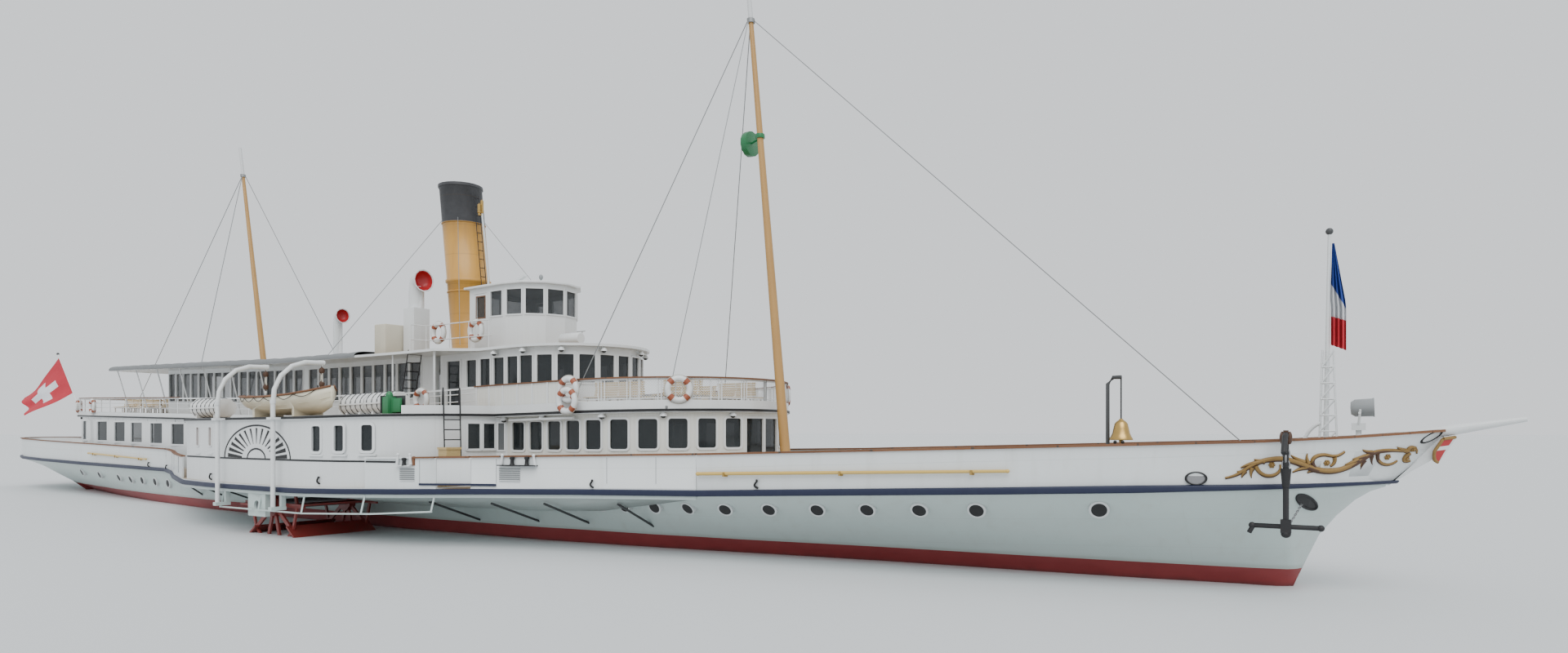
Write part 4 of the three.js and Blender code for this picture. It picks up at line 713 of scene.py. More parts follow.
for side, sign in (("starboard", -1), ("port", 1)):
    frames, sills = bmesh.new(), bmesh.new()
    panes = {"glass": bmesh.new(), "varnish": bmesh.new()}
    for row in boxWindows:
        low, high = lifted(row["x"], row["low"]), lifted(row["x"], 3.27)
        place = boxSpot(row["x"], (low + high) / 2, sign)
        addWindow(panes[row["glass"]], frames, place, row["width"], high - low, row["bar"], 0.03,
                  row["bar"] * 2)
        drop = (high - low) / 2 + (0.11 if row["bar"] > 0.05 else 0.24)
        sill = (place @ Matrix.Translation((0, -drop, 0.01))
                @ Matrix.Diagonal((row["width"] + 0.2, 0.05, 0.07, 1)))
        bmesh.ops.create_cube(sills, size=1, matrix=sill)
    for x, y, out in ((6.53, 4.43, (0.97, 0.22)), (6.62, 3.98, (0.99, 0.12))):
        place = wallSpot(x, sign * y, lifted(x, 2.92),
                         (out[0], out[1] * sign)) @ Matrix.Translation((0, 0, 0.02))
        pane = place @ Matrix.Diagonal((0.36, 0.72, 0.012, 1))
        bmesh.ops.create_cube(panes["glass"], size=1, matrix=pane @ Matrix.Translation((0, 0, 0.5)))
        addFrame(frames, place @ Matrix.Translation((0, 0, -0.04)), 0.48, 0.84, 0.066, 0.075, 0.04)
    # Between the box and the saloon
    screen = wallSpot(6.775, sign * 3.635, lifted(6.78, 2.6), (0.56, 0.83 * sign))
    closing, light = bmesh.new(), screen @ Matrix.Translation((0, 0.3, 0.02))
    bmesh.ops.create_cube(closing, size=1, matrix=screen @ Matrix.Diagonal((0.33, 1.7, 0.04, 1)))
    bmesh.ops.create_cube(panes["glass"], size=1, matrix=light @ Matrix.Diagonal((0.2, 0.8, 0.012, 1)))
    addFrame(frames, light, 0.26, 0.86, 0.045, 0.03)
    toObject(closing, "box_screen_" + side, "white", smooth=0)
    for glass, pane in panes.items():
        toObject(pane, "box_" + glass + "_" + side, glass, smooth=0)
    toObject(frames, "box_frames_" + side, "white", smooth=0)
    toObject(sills, "box_sills_" + side, "white", smooth=0)
    doorGlass, doorBars = bmesh.new(), bmesh.new()
    addWindow(doorGlass, doorBars, wallSpot(2.93, sign * 1.352, lifted(2.93, 7.27), (0, sign)), 0.44, 0.7,
              0.03, 0.01)
    toObject(doorGlass, "door_glass_" + side, "clear", "door_" + side, 0)
    toObject(doorBars, "door_bars_" + side, "varnish", "door_" + side, 0)
print("windows glazed")


# Cap rails and trim lines
# rows are pairs of points; the ribbon is then thickened upwards
def addRibbon(bm, rows, depth):
    pair = [bm.verts.new(p) for p in rows[0]]
    faces = []
    for left, right in rows[1:]:
        edge = bm.edges.get(pair) or bm.edges.new(pair)
        grown = bmesh.ops.extrude_edge_only(bm, edges=[edge])["geom"]
        fresh = [v for v in grown if isinstance(v, bmesh.types.BMVert)]
        faces += [f for f in grown if isinstance(f, bmesh.types.BMFace)]
        ahead = [next(v for v in fresh if bm.edges.get((v, old))) for old in pair]
        ahead[0].co, ahead[1].co = left, right
        pair = ahead
    up = bmesh.ops.extrude_face_region(bm, geom=faces, use_keep_orig=True)["geom"]
    bmesh.ops.translate(bm, vec=depth, verts=[v for v in up if isinstance(v, bmesh.types.BMVert)])
    bmesh.ops.recalc_face_normals(bm, faces=bm.faces[:])


def railRows(path, width):                                   # a path widened to both sides in plan
    rows = []
    for i, spot in enumerate(path):
        ahead = Vector(path[min(i + 1, len(path) - 1)]) - Vector(path[max(i - 1, 0)])
        across = Vector((-ahead.y, ahead.x, 0)).normalized() * width / 2
        rows.append((Vector(spot) - across, Vector(spot) + across))
    return rows


def steps(start, end, count):
    return [start + (end - start) * i / (count - 1) for i in range(count)]


# Outer edge of the bulwark's top: x, half breadth and height
bowTop = [(14.42, 4.16, 2.57), (18, 3.67, 2.676), (21.5, 3.19, 2.78), (24, 2.69, 2.858), (26, 2.08, 2.92),
          (26.6, 1.792, 2.954), (27.5, 1.226, 3.006), (28.4, 0.598, 3.08), (28.98, 0.11, 3.13)]
sternTop = [(-14.41, 3.68, 2.372), (-18, 3.55, 2.436), (-24, 3.39, 2.544), (-30, 3.05, 2.64),
            (-34, 2.63, 2.7),
            (-36.5, 1.98, 2.738), (-37.4, 1.285, 2.752), (-37.9, 0.25, 2.76)]
waistTop = {
    "aft": [(-14.39, 3.65, 2.371), (-12, 4.42, 2.328), (-9, 5.58, 2.294), (-7.2, 6.2, 2.28),
            (-6.02, 6.59, 2.27)],
    "mid": [(6.42, 6.235, 2.41), (6.98, 6.01, 2.42)],
    "fore": [(7.98, 5.61, 2.44), (11, 4.75, 2.501), (14.38, 4.15, 2.57)]}
capSet = {"width": 0.14, "depth": 0.045}


def addCap(name, line, finish="varnish", around=True):
    caps = bmesh.new()
    inner = [(x, y - 0.03, z) for x, y, z in line]
    path = [(x, -y, z) for x, y, z in inner] + ([(x, y, z) for x, y, z in reversed(inner)] if around else [])
    addRibbon(caps, railRows(path, capSet["width"]), (0, 0, capSet["depth"]))
    if around:
        return toObject(caps, name, finish)
    bmesh.ops.mirror(caps, geom=caps.verts[:] + caps.edges[:] + caps.faces[:], axis="Y", merge_dist=0)
    bmesh.ops.recalc_face_normals(caps, faces=caps.faces[:])
    return toObject(caps, name, finish)


addCap("bow_cap_rail", bowTop)
addCap("stern_cap_rail", sternTop)
for place, line in waistTop.items():
    addCap("waist_cap_rail_" + place, line, around=False)
addCap("mooring_ledge", [(4.95, 6.72, 2.391), (6, 6.4, 2.399), (6.36, 6.26, 2.407)], "white", around=False)
for side, sign in (("starboard", -1), ("port", 1)):
    caps, ends = bmesh.new(), bmesh.new()
    gateTop = [(7.02, sign * 5.965, 2.424), (7.92, sign * 5.605, 2.438)]
    addRibbon(caps, railRows(gateTop, capSet["width"]), (0, 0, capSet["depth"]))
    toObject(caps, "gate_cap_rail_" + side, "varnish", "gate_" + side)
    addRod(ends, (6.4, sign * 6.23, 2.22), (6.4, sign * 6.23, 2.43), 0.05, sides=14)
    addBall(ends, (6.4, sign * 6.23, 2.435), 0.06, (1, 1, 0.6))
    toObject(ends, "cap_rail_end_" + side, "varnish", smooth=40)
print("cap rails laid")

# Portholes along the hull, each a dark glass in a steel ring, and other fittings on its sides
portSet = {
    "places": [(10.65, 1.25), (11.56, 1.27), (12.64, 1.3), (13.74, 1.33), (14.88, 1.36), (16.05, 1.4),
               (17.27, 1.44),
               (18.48, 1.49), (19.68, 1.53), (20.91, 1.57), (23.31, 1.66), (-24.79, 1.22), (-22.46, 1.16),
               (-20.05, 1.1), (-18.68, 1.06), (-17.36, 1.05), (-16.0, 1.03), (-14.69, 1.0)],
    "radius": 0.15, "ring": 0.024}
for side, sign in (("starboard", -1), ("port", 1)):
    rings, glass, hatch = bmesh.new(), bmesh.new(), bmesh.new()
    for x, z in portSet["places"]:
        spot, normal = sideSpot("hull", x, z - 0.06, sign)
        place = facing(spot, (normal.x, normal.y, normal.z * 0.5)) @ Matrix.Translation((0, 0, 0.075))
        addTurned(rings, place, [(0.15, 0.0), (0.156, 0.01), (0.178, 0.012), (0.198, 0.004), (0.21, -0.2)],
                  24)
        bmesh.ops.create_circle(glass, cap_ends=True, segments=24, radius=0.155,
                                matrix=place @ Matrix.Translation((0, 0, 0.007)))
    toObject(rings, "porthole_rings_" + side, "steelPaint", smooth=50)
    toObject(glass, "porthole_glass_" + side, "black", smooth=0)

    spot, normal = sideSpot("hull", 25.07, 2.24, sign)
    lead = wallSpot(spot.x, spot.y, spot.z, normal) @ Matrix.Diagonal((1.45, 0.95, 1, 1))
    addTurned(hatch, lead, [(0.108, -0.02), (0.112, 0.03), (0.125, 0.038), (0.138, 0.03), (0.142, -0.03)], 28)
    toObject(hatch, "bow_fairlead_ring_" + side, "black", smooth=50)
    lid = bmesh.new()
    addTurned(lid, lead, [(0.0, 0.006), (0.06, 0.006), (0.112, 0.006)], 28)
    toObject(lid, "bow_fairlead_" + side, "steel", smooth=50)

    rim = []
    for i in range(29):
        turn = math.tau * i / 28
        x = 26.84 + 0.14 * math.cos(turn) + 0.064 * math.sin(turn)
        z = 1.8 - 0.13 * math.cos(turn) + 0.088 * math.sin(turn)
        spot, normal = sideSpot("hull", x, z, sign)
        rim.append(spot + normal * 0.012)
    pipes("hawse_rim_" + side, [rim], 0.022, "iron")
    # The dark inside of the hawse hole is a flat black disc set in the rim: painted shade.
    hawse = bmesh.new()
    hawse.faces.new([hawse.verts.new(spot) for spot in rim[:-1]])
    toObject(hawse, "hawse_pipe_" + side, "black", smooth=0)

    hooks, bits = [], bmesh.new()
    for x, z in ((-16.19, 1.66), (-13.9, 1.6), (-2.93, 1.66), (3.19, 1.72), (11.49, 1.78), (16.01, 1.88)):
        node = "hull" if x < -14.5 or x > 14.4 else "sponson_" + side
        node = "paddle_box_" + side if -5.8 < x < 6 else node
        spot, normal = sideSpot(node, x, z + 0.12, sign)
        y = spot.y
        hooks.append([(x - 0.01, y, z + 0.12), (x, y + sign * 0.05, z + 0.14),
                      (x + 0.07, y + sign * 0.07, z + 0.12),
                      (x - 0.06, y + sign * 0.06, z + 0.03), (x - 0.05, y + sign * 0.03, z - 0.03),
                      (x + 0.04, y + sign * 0.03, z - 0.05)])
    pipes("fender_hooks_" + side, hooks, 0.024, "black", smooth=True)

    poleSet = {"fore": ((14.5, 2.13), (21.7, 2.33)), "aft": ((-22.8, 2.1), (-16.3, 1.93))}
    for which, ((x0, z0), (x1, z1)) in poleSet.items():
        a, b = sideSpot("hull", x0, z0, sign)[0], sideSpot("hull", x1, z1, sign)[0]
        middle = sideSpot("hull", (x0 + x1) / 2, (z0 + z1) / 2, sign)[0]
        y0, y1 = a.y + sign * 0.09, b.y + sign * 0.09
        lean = max(sign * (middle.y - (y0 + y1) / 2) + 0.05, 0) * sign
        pole = bmesh.new()
        addRod(pole, (x0, y0 + lean, z0), (x1, y1 + lean, z1), 0.042, 0.034, 12)
        addBall(pole, (x0, y0 + lean, z0), 0.05, (1.2, 1, 1), 12)
        addBall(pole, (x1, y1 + lean, z1), 0.042, (1.2, 1, 1), 12)
        toObject(pole, "boat_pole_" + which + "_" + side, "yellow", smooth=50)
        for share in (0.1, 0.5, 0.9):
            x, z = x0 + (x1 - x0) * share, z0 + (z1 - z0) * share
            skin = sideSpot("hull", x, z - 0.06, sign)[0]
            rodY = y0 + lean + (y1 - y0) * share
            addBox(bits, (x - 0.025, min(skin.y, rodY), z - 0.075), (x + 0.025, max(skin.y, rodY), z - 0.035))
            addBox(bits, (x - 0.025, rodY - 0.012 + sign * 0.05, z - 0.07),
                   (x + 0.025, rodY + 0.012 + sign * 0.05, z + 0.03))
    toObject(bits, "pole_brackets_" + side, "brass", smooth=0)
print("hull fittings set")

# Edge of the promenade deck: a black nosing, a white coaming above it and brackets under the overhang aft
promenadeTop = 3.56


# Points of a round front, from the side to the middle line
def bowArc(centre, radius, count):
    angles = [math.pi / 2 * i / (count - 1) for i in range(count)]
    return [(centre + radius * math.sin(a), max(radius * math.cos(a), 0)) for a in angles]


# A half outline from aft, round the bow and back aft
def bothSides(half, z, swell=0.0):
    out = [(x, y + swell if y else 0) for x, y in half]
    path = [(x, -y, z) for x, y in out] + [(x, y, z) for x, y in reversed(out) if y]
    return [(x, y, lifted(x, height)) for x, y, height in path]


deckHalf = [(-27.9, 1.3), (-27.6, 2.1), (-27, 2.5), (-24, 2.92), (-18, 3.2), (-12.5, 3.4), (-6.1, 3.5),
            (-5.96, 6.4),
            (-5.72, 6.63), (-5.2, 6.86), (-2.5, 7.16), (2.5, 7.16), (4, 6.96), (4.85, 6.66), (5.57, 6.16),
            (6.17, 5.48), (6.57, 4.67), (6.76, 3.86)] + bowArc(9.85, 3.78, 15)
nosing = bmesh.new()
addRibbon(nosing, railRows(bothSides(deckHalf, 3.485, 0.006), 0.03), (0, 0, 0.07))
addRibbon(nosing, railRows([(-27.905, y, lifted(-27.9, 3.485)) for y in (1.3, 0, -1.3)], 0.03), (0, 0, 0.07))
toObject(nosing, "promenade_nosing", "black", smooth=30)

coamings = bmesh.new()
foreHalf = [(5.62, 6.08), (6.1, 5.5), (6.5, 4.64), (6.7, 3.8)] + bowArc(9.85, 3.74, 15)
addRibbon(coamings, railRows(bothSides(foreHalf, promenadeTop), 0.03), (0, 0, 0.23))
aftHalf = [(-6.0, 3.45), (-12.5, 3.36), (-18, 3.16), (-24, 2.88), (-26.98, 2.46), (-27.56, 2.08),
           (-27.86, 1.28)]
aftLoop = bothSides(aftHalf[::-1], promenadeTop)
half = len(aftLoop) // 2
addRibbon(coamings, railRows(aftLoop[:half][::-1] + aftLoop[half:][::-1], 0.03), (0, 0, 0.16))
toObject(coamings, "promenade_coaming", "white", smooth=30)

ribs = bmesh.new()
for i in range(22):
    x = -26.9 + i * 0.95
    half = between([(-27, 2.4), (-24, 2.84), (-18, 3.12), (-12.5, 3.32), (-6, 3.42)], x)
    wall = between(aftWall, max(x, -26.1))
    for sign in (-1, 1):
        inner = wall if x > -26 else 0.4
        low, high = sorted((sign * inner, sign * half))
        addBox(ribs, (x - 0.015, low, lifted(x, 3.36)), (x + 0.015, high, lifted(x, 3.458)))
toObject(ribs, "promenade_ribs", "dark", smooth=0)

# Panels, wire netting and wooden caps on the railings
caps = bmesh.new()
addRibbon(caps, railRows(bothSides([(5.6, 3.64), (6.6, 3.7)] + bowArc(9.85, 3.7, 15), 4.375), 0.11),
          (0, 0, 0.04))
aftCap = [(-14.2, 3.24), (-18, 3.1), (-24, 2.82), (-27, 2.4), (-27.55, 2.0), (-27.8, 1.2)]
aftLoop = bothSides(aftCap[::-1], 4.385)
half = len(aftLoop) // 2
addRibbon(caps, railRows(aftLoop[:half][::-1] + aftLoop[half:][::-1], 0.1), (0, 0, 0.035))
toObject(caps, "railing_caps", "varnish", smooth=30)

panels, frames = bmesh.new(), bmesh.new()
for sign in (-1, 1):
    edgeLine = [(5.6, 3.64), (6.6, 3.7), (9.9, 3.7)]
    path = [(5.65 + 0.06 * i, sign * (between(edgeLine, 5.65 + 0.06 * i) + 0.018)) for i in range(65)]
    rows = [((x, y, lifted(x, 3.78)), (x, y, lifted(x, 4.37))) for x, y in path]
    addRibbon(panels, rows, (0, -sign * 0.014, 0))
    for i in range(7):
        x = 5.7 + i * 0.62
        y = sign * (between([(5.6, 3.64), (6.6, 3.7), (9.9, 3.7)], x) + 0.03)
        addBox(frames, (x - 0.03, y - 0.012, lifted(x, 3.76)), (x + 0.03, y + 0.012, lifted(x, 4.38)))
toObject(panels, "railing_panels", "panel", smooth=30)

netPaint = Paint("wireNetting")
across, upward = [netPaint.node("ShaderNodeUVMap", {"uv_map": "mesh"})] * 2
across = netPaint.node("ShaderNodeSeparateXYZ", {}, {0: across}, 0)
upward = netPaint.node("ShaderNodeSeparateXYZ", {}, {0: upward}, 1)
mesh = netPaint.line(across + upward, 0.07, 0.014).larger(netPaint.line(across - upward + 20, 0.07, 0.014))
finishes["net"] = netPaint.finish((0.7, 0.72, 0.72), 0.4, metal=0.3, alpha=mesh)


def addNet(name, path, low, high):                           # a sheet of netting whose UVs are in metres
    net = bmesh.new()
    uv = net.loops.layers.uv.new("mesh")
    rows, run = [], [0.0]
    for first, second in zip(path, path[1:]):
        run.append(run[-1] + (Vector(second) - Vector(first)).length)
    for x, y in path:
        rows.append([net.verts.new((x, y, lifted(x, z))) for z in (low, high)])
    for i in range(len(rows) - 1):
        face = net.faces.new((rows[i][0], rows[i + 1][0], rows[i + 1][1], rows[i][1]))
        for loop, spot in zip(face.loops, ((run[i], 0), (run[i + 1], 0), (run[i + 1], high - low),
                                           (run[i], high - low))):
            loop[uv].uv = spot
    return toObject(net, name, "net", smooth=30)


netHalf = bowArc(9.85, 3.66, 15)
netPath = [(x, -y) for x, y in netHalf] + [(x, y) for x, y in reversed(netHalf) if y > 0.001]
addNet("bow_netting", netPath, 3.82, 4.34)
for sign in (-1, 1):
    for i in range(0, 15, 2):
        x, y = netHalf[i]
        for near in (-0.045, 0.045):
            angle = math.atan2(y, x - 9.85) + near / 3.66
            px, py = 9.85 + 3.69 * math.cos(angle), 3.69 * math.sin(angle)
            addRod(frames, (px, sign * py, lifted(px, 3.56)), (px, sign * py, lifted(px, 4.38)), 0.018,
                   sides=6)
for z in (3.83, 4.33):
    addRibbon(frames, railRows([(x, y, lifted(x, z)) for x, y in netPath], 0.03), (0, 0, 0.025))
toObject(frames, "railing_frames", "white", smooth=30)

# Open rails beside the boats and aft
for side, sign in (("starboard", -1), ("port", 1)):
    forePlan = ((-5.9, 3.4), (2, 3.4), (5.6, 3.64))
    aftPlan = ((-27, 2.4), (-24, 2.82), (-18, 3.1), (-12.5, 3.3), (-6, 3.4))
    rails = [[(x, sign * y, lifted(x, z)) for x, y in forePlan] for z in (3.98, 4.2)]
    rails += [[(x, sign * y, lifted(x, z)) for x, y in aftPlan] for z in (3.94, 4.15)]
    pipes("lower_rails_" + side, rails, 0.014, "white")
print("promenade edge and railings dressed")

# Life rings: a white ring with four brown bands and a line round it
ringSet = {"radius": 0.29, "gauge": 0.085, "band": 0.13}
ringPlaces = [
    (2.81, -3.52, 4.13, (0, -1)), (9.74, -3.84, 4.27, (0.05, -1)), (9.8, -3.95, 3.96, (0.05, -1)),
    (12.56, -2.6, 4.25, (0.72, -0.69)), (-27.42, -2.3, 4.4, (-0.5, -0.8)), (-23.9, -2.95, 4.34, (-0.1, -1)),
    (1.5, -1.95, 6.47, (0, -1)), (3.45, -1.95, 6.42, (0, -1))]
ringPlaces += [(x, -y, z, (nx, -ny)) for x, y, z, (nx, ny) in ringPlaces]
rings, bands, lines = bmesh.new(), bmesh.new(), bmesh.new()
for x, y, z, normal in ringPlaces:
    place = wallSpot(x, y, z, normal)
    addHoop(rings, place, ringSet["radius"], ringSet["gauge"], 28, 10)
    for quarter in range(4):
        angle = math.pi / 4 + quarter * math.pi / 2
        middle = Vector((math.cos(angle), math.sin(angle), 0)) * ringSet["radius"]
        along = Vector((-math.sin(angle), math.cos(angle), 0)) * ringSet["band"] / 2
        addRod(bands, place @ (middle - along), place @ (middle + along), ringSet["gauge"] * 1.07, sides=12)
    addHoop(lines, place, ringSet["radius"] + ringSet["gauge"] + 0.012, 0.009, 28, 5)
toObject(rings, "life_rings", "white", smooth=60)
toObject(bands, "life_ring_bands", "ringBrown", smooth=40)
toObject(lines, "life_ring_lines", "rope", smooth=60)

# Slatted benches on the promenade deck
benchSet = {"slat": 0.05, "gap": 0.065, "seat": 0.42, "back": 0.88, "deep": 0.46}


def addBench(slats, legs, x0, x1, y, look):                  # look: +1 faces port, -1 faces starboard
    z0 = promenadeTop + upperRise((x0 + x1) / 2)
    for i in range(6):
        near = y + look * (0.02 + i * 0.078)
        addBox(slats, (x0, near - 0.028, z0 + benchSet["seat"]),
               (x1, near + 0.028, z0 + benchSet["seat"] + 0.025))
    for i in range(6):
        z = z0 + benchSet["seat"] + 0.07 + i * 0.068
        back = y - look * (0.03 + i * 0.014)
        addBox(slats, (x0, back - 0.012, z), (x1, back + 0.012, z + 0.05))
    for x in (x0 + 0.12, (x0 + x1) / 2, x1 - 0.12):
        addBox(legs, (x - 0.02, y - 0.02, z0 + 0.002), (x + 0.02, y + 0.02, z0 + benchSet["seat"]))
        low, high = sorted((y, y + look * 0.42))
        addBox(legs, (x - 0.02, low, z0 + benchSet["seat"] - 0.04), (x + 0.02, high, z0 + benchSet["seat"]))
        addBox(legs, (x - 0.02, y + look * 0.4 - 0.02, z0 + 0.002),
               (x + 0.02, y + look * 0.4 + 0.02, z0 + benchSet["seat"]))
        addRod(legs, (x, y, z0 + benchSet["seat"]), (x, y - look * 0.12, z0 + benchSet["back"]), 0.016,
               sides=6)


slats, legs = bmesh.new(), bmesh.new()
for sign in (-1, 1):
    for x0, x1, y, look in ((8.6, 10.5, 1.75, 1), (8.6, 10.5, 1.6, -1), (10.9, 12.3, 1.35, 1),
                            (10.9, 12.3, 1.2, -1)):
        addBench(slats, legs, x0, x1, sign * y, sign * look)
    for x0 in (-25.8, -23.6, -21.4):
        addBench(slats, legs, x0, x0 + 1.9, sign * 0.95, sign)
        addBench(slats, legs, x0, x0 + 1.9, sign * 0.8, -sign)
    for x0 in (-17.0, -11.6, -9.2, -3.9, -1.6):
        addBench(slats, legs, x0, x0 + 1.9, sign * 1.15, sign)
        addBench(slats, legs, x0, x0 + 1.9, sign * 1.0, -sign)
toObject(slats, "bench_slats", "bench", smooth=0)
toObject(legs, "bench_legs", "white", smooth=0)
print("life rings and benches set")


# Ladders
def ladder(name, foot, head, width, finish, rungs, across=(1, 0, 0), body="ship"):
    foot, head, half = Vector(foot), Vector(head), Vector(across) * width / 2
    paths = [[foot - half, head - half], [foot + half, head + half]]
    for i in range(rungs):
        spot = foot.lerp(head, (i + 0.5) / rungs)
        paths.append([spot - half, spot + half])
    pipes(name, paths, 0.018, finish, body, sides=1)


for side, sign in (("starboard", -1), ("port", 1)):
    slope = Vector((0.484, sign * -0.875, 0))
    ladder("deck_ladder_" + side, (6.6, sign * 5.14, 1.65), (6.475, sign * 5.09, 3.6), 0.43, "black", 7,
           slope * -1)
    rails = [[(x, sign * y, 3.6), (x - 0.02, sign * y, 4.25), (x - 0.1, sign * (y - 0.06), 4.42),
              (x - 0.25, sign * (y - 0.14), 4.3), (x - 0.27, sign * (y - 0.15), 3.6)] for x,
              y in ((6.37, 5.28), (6.58, 4.9))]
    pipes("deck_ladder_grips_" + side, rails, 0.02, "black", smooth=True)
    ladder("bridge_ladder_" + side, (1.2, sign * 3.0, 3.58), (1.75, sign * 3.0, 5.78), 0.5, "black", 8,
           (0, 1, 0))

    deck = lifted(2, 5.72)
    top, middle = deck + 1.0, deck + 0.5
    line = [(0.9, 2.6), (0.95, 2.03), (4.0, 2.03), (4.35, 2.03)]  # outside the open doors
    posts = ((0.9, 2.6), (0.95, 2.03), (2.2, 2.03), (3.2, 2.03), (4.2, 2.03))
    guard = [[(x, sign * y, z) for x, y in line] for z in (top, middle)]
    guard += [[(x, sign * y, deck + 0.002), (x, sign * y, top)] for x, y in posts]
    pipes("bridge_rail_" + side, guard, 0.018, "white")

# Ventilator mouths, red inside
bowls = bmesh.new()
for x, y, z, mouth in ((0.775, -2.0, 8.29, 0.335), (-4.12, -2.0, 7.43, 0.235)):
    place = Matrix.Translation((x, y, z)) @ Matrix.Rotation(math.pi / 2, 4, "Y")
    addTurned(bowls, place, [(0, -mouth * 0.9), (mouth * 0.6, -mouth * 0.8), (mouth * 0.9, -mouth * 0.35),
                             (mouth, -0.01),
                             (mouth * 0.96, -0.01), (mouth * 0.86, -mouth * 0.33),
                             (mouth * 0.56, -mouth * 0.74),
                             (0, -mouth * 0.84)], 28)
bmesh.ops.remove_doubles(bowls, verts=bowls.verts, dist=0.0004)
bmesh.ops.recalc_face_normals(bowls, faces=bowls.faces)
toObject(bowls, "cowl_throats", "red", smooth=50)

# Search lamp, jackstaff bracket and rollers at the bow
deckAt = 1.55 + mainRise(27.7)
drum = bmesh.new()
addTurned(drum, Matrix.Translation((27.72, 0, 3.6)) @ Matrix.Rotation(math.radians(88), 4, "Y"),
          [(0, -0.2), (0.12, -0.19), (0.17, -0.12), (0.175, 0.16), (0.19, 0.2), (0.165, 0.2), (0.15, 0.1),
           (0, 0.08)], 24)
bmesh.ops.remove_doubles(drum, verts=drum.verts, dist=0.0004)
bmesh.ops.recalc_face_normals(drum, faces=drum.faces)
toObject(drum, "search_lamp", "grey", smooth=40)
stand = bmesh.new()
addRod(stand, (27.66, 0, deckAt), (27.66, 0, 3.2), 0.05, sides=12)
addBox(stand, (27.54, -0.1, 3.16), (27.78, 0.1, 3.3))
addRod(stand, (27.68, -0.2, 3.5), (27.68, 0.2, 3.5), 0.025)
for y in (-0.19, 0.19):
    addRod(stand, (27.66, y * 0.5, 3.28), (27.69, y, 3.56), 0.022)
toObject(stand, "search_lamp_stand", "white", smooth=40)

posts = [(26.98, -0.14), (26.98, 0.14), (27.32, -0.14), (27.32, 0.14)]
lattice = [[(x, y, deckAt - 0.03), (27.14 + (x - 27.14) * 0.55, y * 0.5, 4.76)] for x, y in posts]
for level in range(7):
    z0, z1 = 2.5 + level * 0.32, 2.82 + level * 0.32
    share0, share1 = 1 - 0.45 * (z0 - deckAt) / 2.6, 1 - 0.45 * (z1 - deckAt) / 2.6
    for y in (-0.14, 0.14):
        lattice.append([(27.14 - 0.16 * share0, y * share0, z0), (27.14 + 0.18 * share1, y * share1, z1)])
        lattice.append([(27.14 - 0.16 * share0, y * share0, z0), (27.14 + 0.18 * share0, y * share0, z0)])
    lattice.append([(27.14 + 0.18 * share0, -0.14 * share0, z0), (27.14 + 0.18 * share0, 0.14 * share0, z0)])
pipes("jackstaff_bracket", lattice, 0.016, "white", sides=1)
pipes("bow_rollers", [[(26.62, y, deckAt), (26.66, y, 2.95), (26.8, y, 3.22),
                       (27.02, y, 3.3)] for y in (-0.12, 0.12)],
      0.03, "white", smooth=True)
print("bow gear set")

# Carved and gilded scrollwork on both bows, drawn along the hull's side as [x, z]
# A cross shield stands at the stem
scrollSet = {
    "stem": [(25.55, 2.26), (25.71, 2.3), (25.84, 2.39), (25.97, 2.5), (26.14, 2.59), (26.32, 2.63),
             (26.49, 2.64),
             (26.66, 2.58), (26.81, 2.52), (26.95, 2.44), (27.1, 2.4), (27.29, 2.4), (27.46, 2.46),
             (27.61, 2.54),
             (27.76, 2.66), (27.9, 2.76), (28.07, 2.79), (28.25, 2.8), (28.39, 2.77), (28.49, 2.79)],
    "curls": [
        [(26.05, 2.49), (26.09, 2.4), (26.16, 2.32), (26.29, 2.3), (26.4, 2.35), (26.46, 2.44),
         (26.44, 2.52)],
        [(26.99, 2.45), (26.93, 2.55), (26.95, 2.65), (27.03, 2.7), (27.15, 2.72), (27.27, 2.67),
         (27.38, 2.7),
         (27.45, 2.77)],
        [(27.29, 2.66), (27.31, 2.59), (27.27, 2.52), (27.22, 2.5)],
        [(27.96, 2.74), (27.95, 2.65), (27.99, 2.56), (28.08, 2.51), (28.19, 2.52), (28.27, 2.59)],
        [(28.43, 2.77), (28.45, 2.84), (28.51, 2.87), (28.59, 2.81), (28.58, 2.74)],
        [(28.47, 2.74), (28.4, 2.69), (28.35, 2.6), (28.4, 2.56), (28.48, 2.59)]],
    "leaves": [
        [(25.81, 2.46), (25.94, 2.54), (26.09, 2.56)], [(25.98, 2.28), (25.96, 2.37), (26.0, 2.46)],
        [(26.03, 2.62), (26.11, 2.59), (26.19, 2.58)], [(26.87, 2.73), (26.84, 2.64), (26.88, 2.54)],
        [(26.61, 2.7), (26.69, 2.63), (26.81, 2.57)], [(26.63, 2.38), (26.73, 2.45), (26.88, 2.48)],
        [(27.45, 2.52), (27.54, 2.55), (27.66, 2.61)], [(27.69, 2.44), (27.71, 2.53), (27.76, 2.62)],
        [(27.73, 2.8), (27.78, 2.76), (27.88, 2.75)], [(27.88, 2.53), (27.85, 2.61), (27.87, 2.7)],
        [(28.27, 2.85), (28.32, 2.81), (28.42, 2.78)], [(26.86, 2.37), (26.95, 2.43), (27.05, 2.42)],
        [(25.75, 2.39), (25.81, 2.37), (25.89, 2.42)], [(25.82, 2.28), (25.84, 2.34), (25.88, 2.4)],
        [(27.57, 2.62), (27.66, 2.64), (27.77, 2.68)]],
    "flowers": [(26.31, 2.51), (27.17, 2.55), (28.12, 2.66), (28.53, 2.81), (28.42, 2.63)]}


def onBow(x, z, sign, proud=0.008):                          # a point just off the hull's side
    spot, normal = sideSpot("hull", x, z, sign)
    return spot + normal * proud


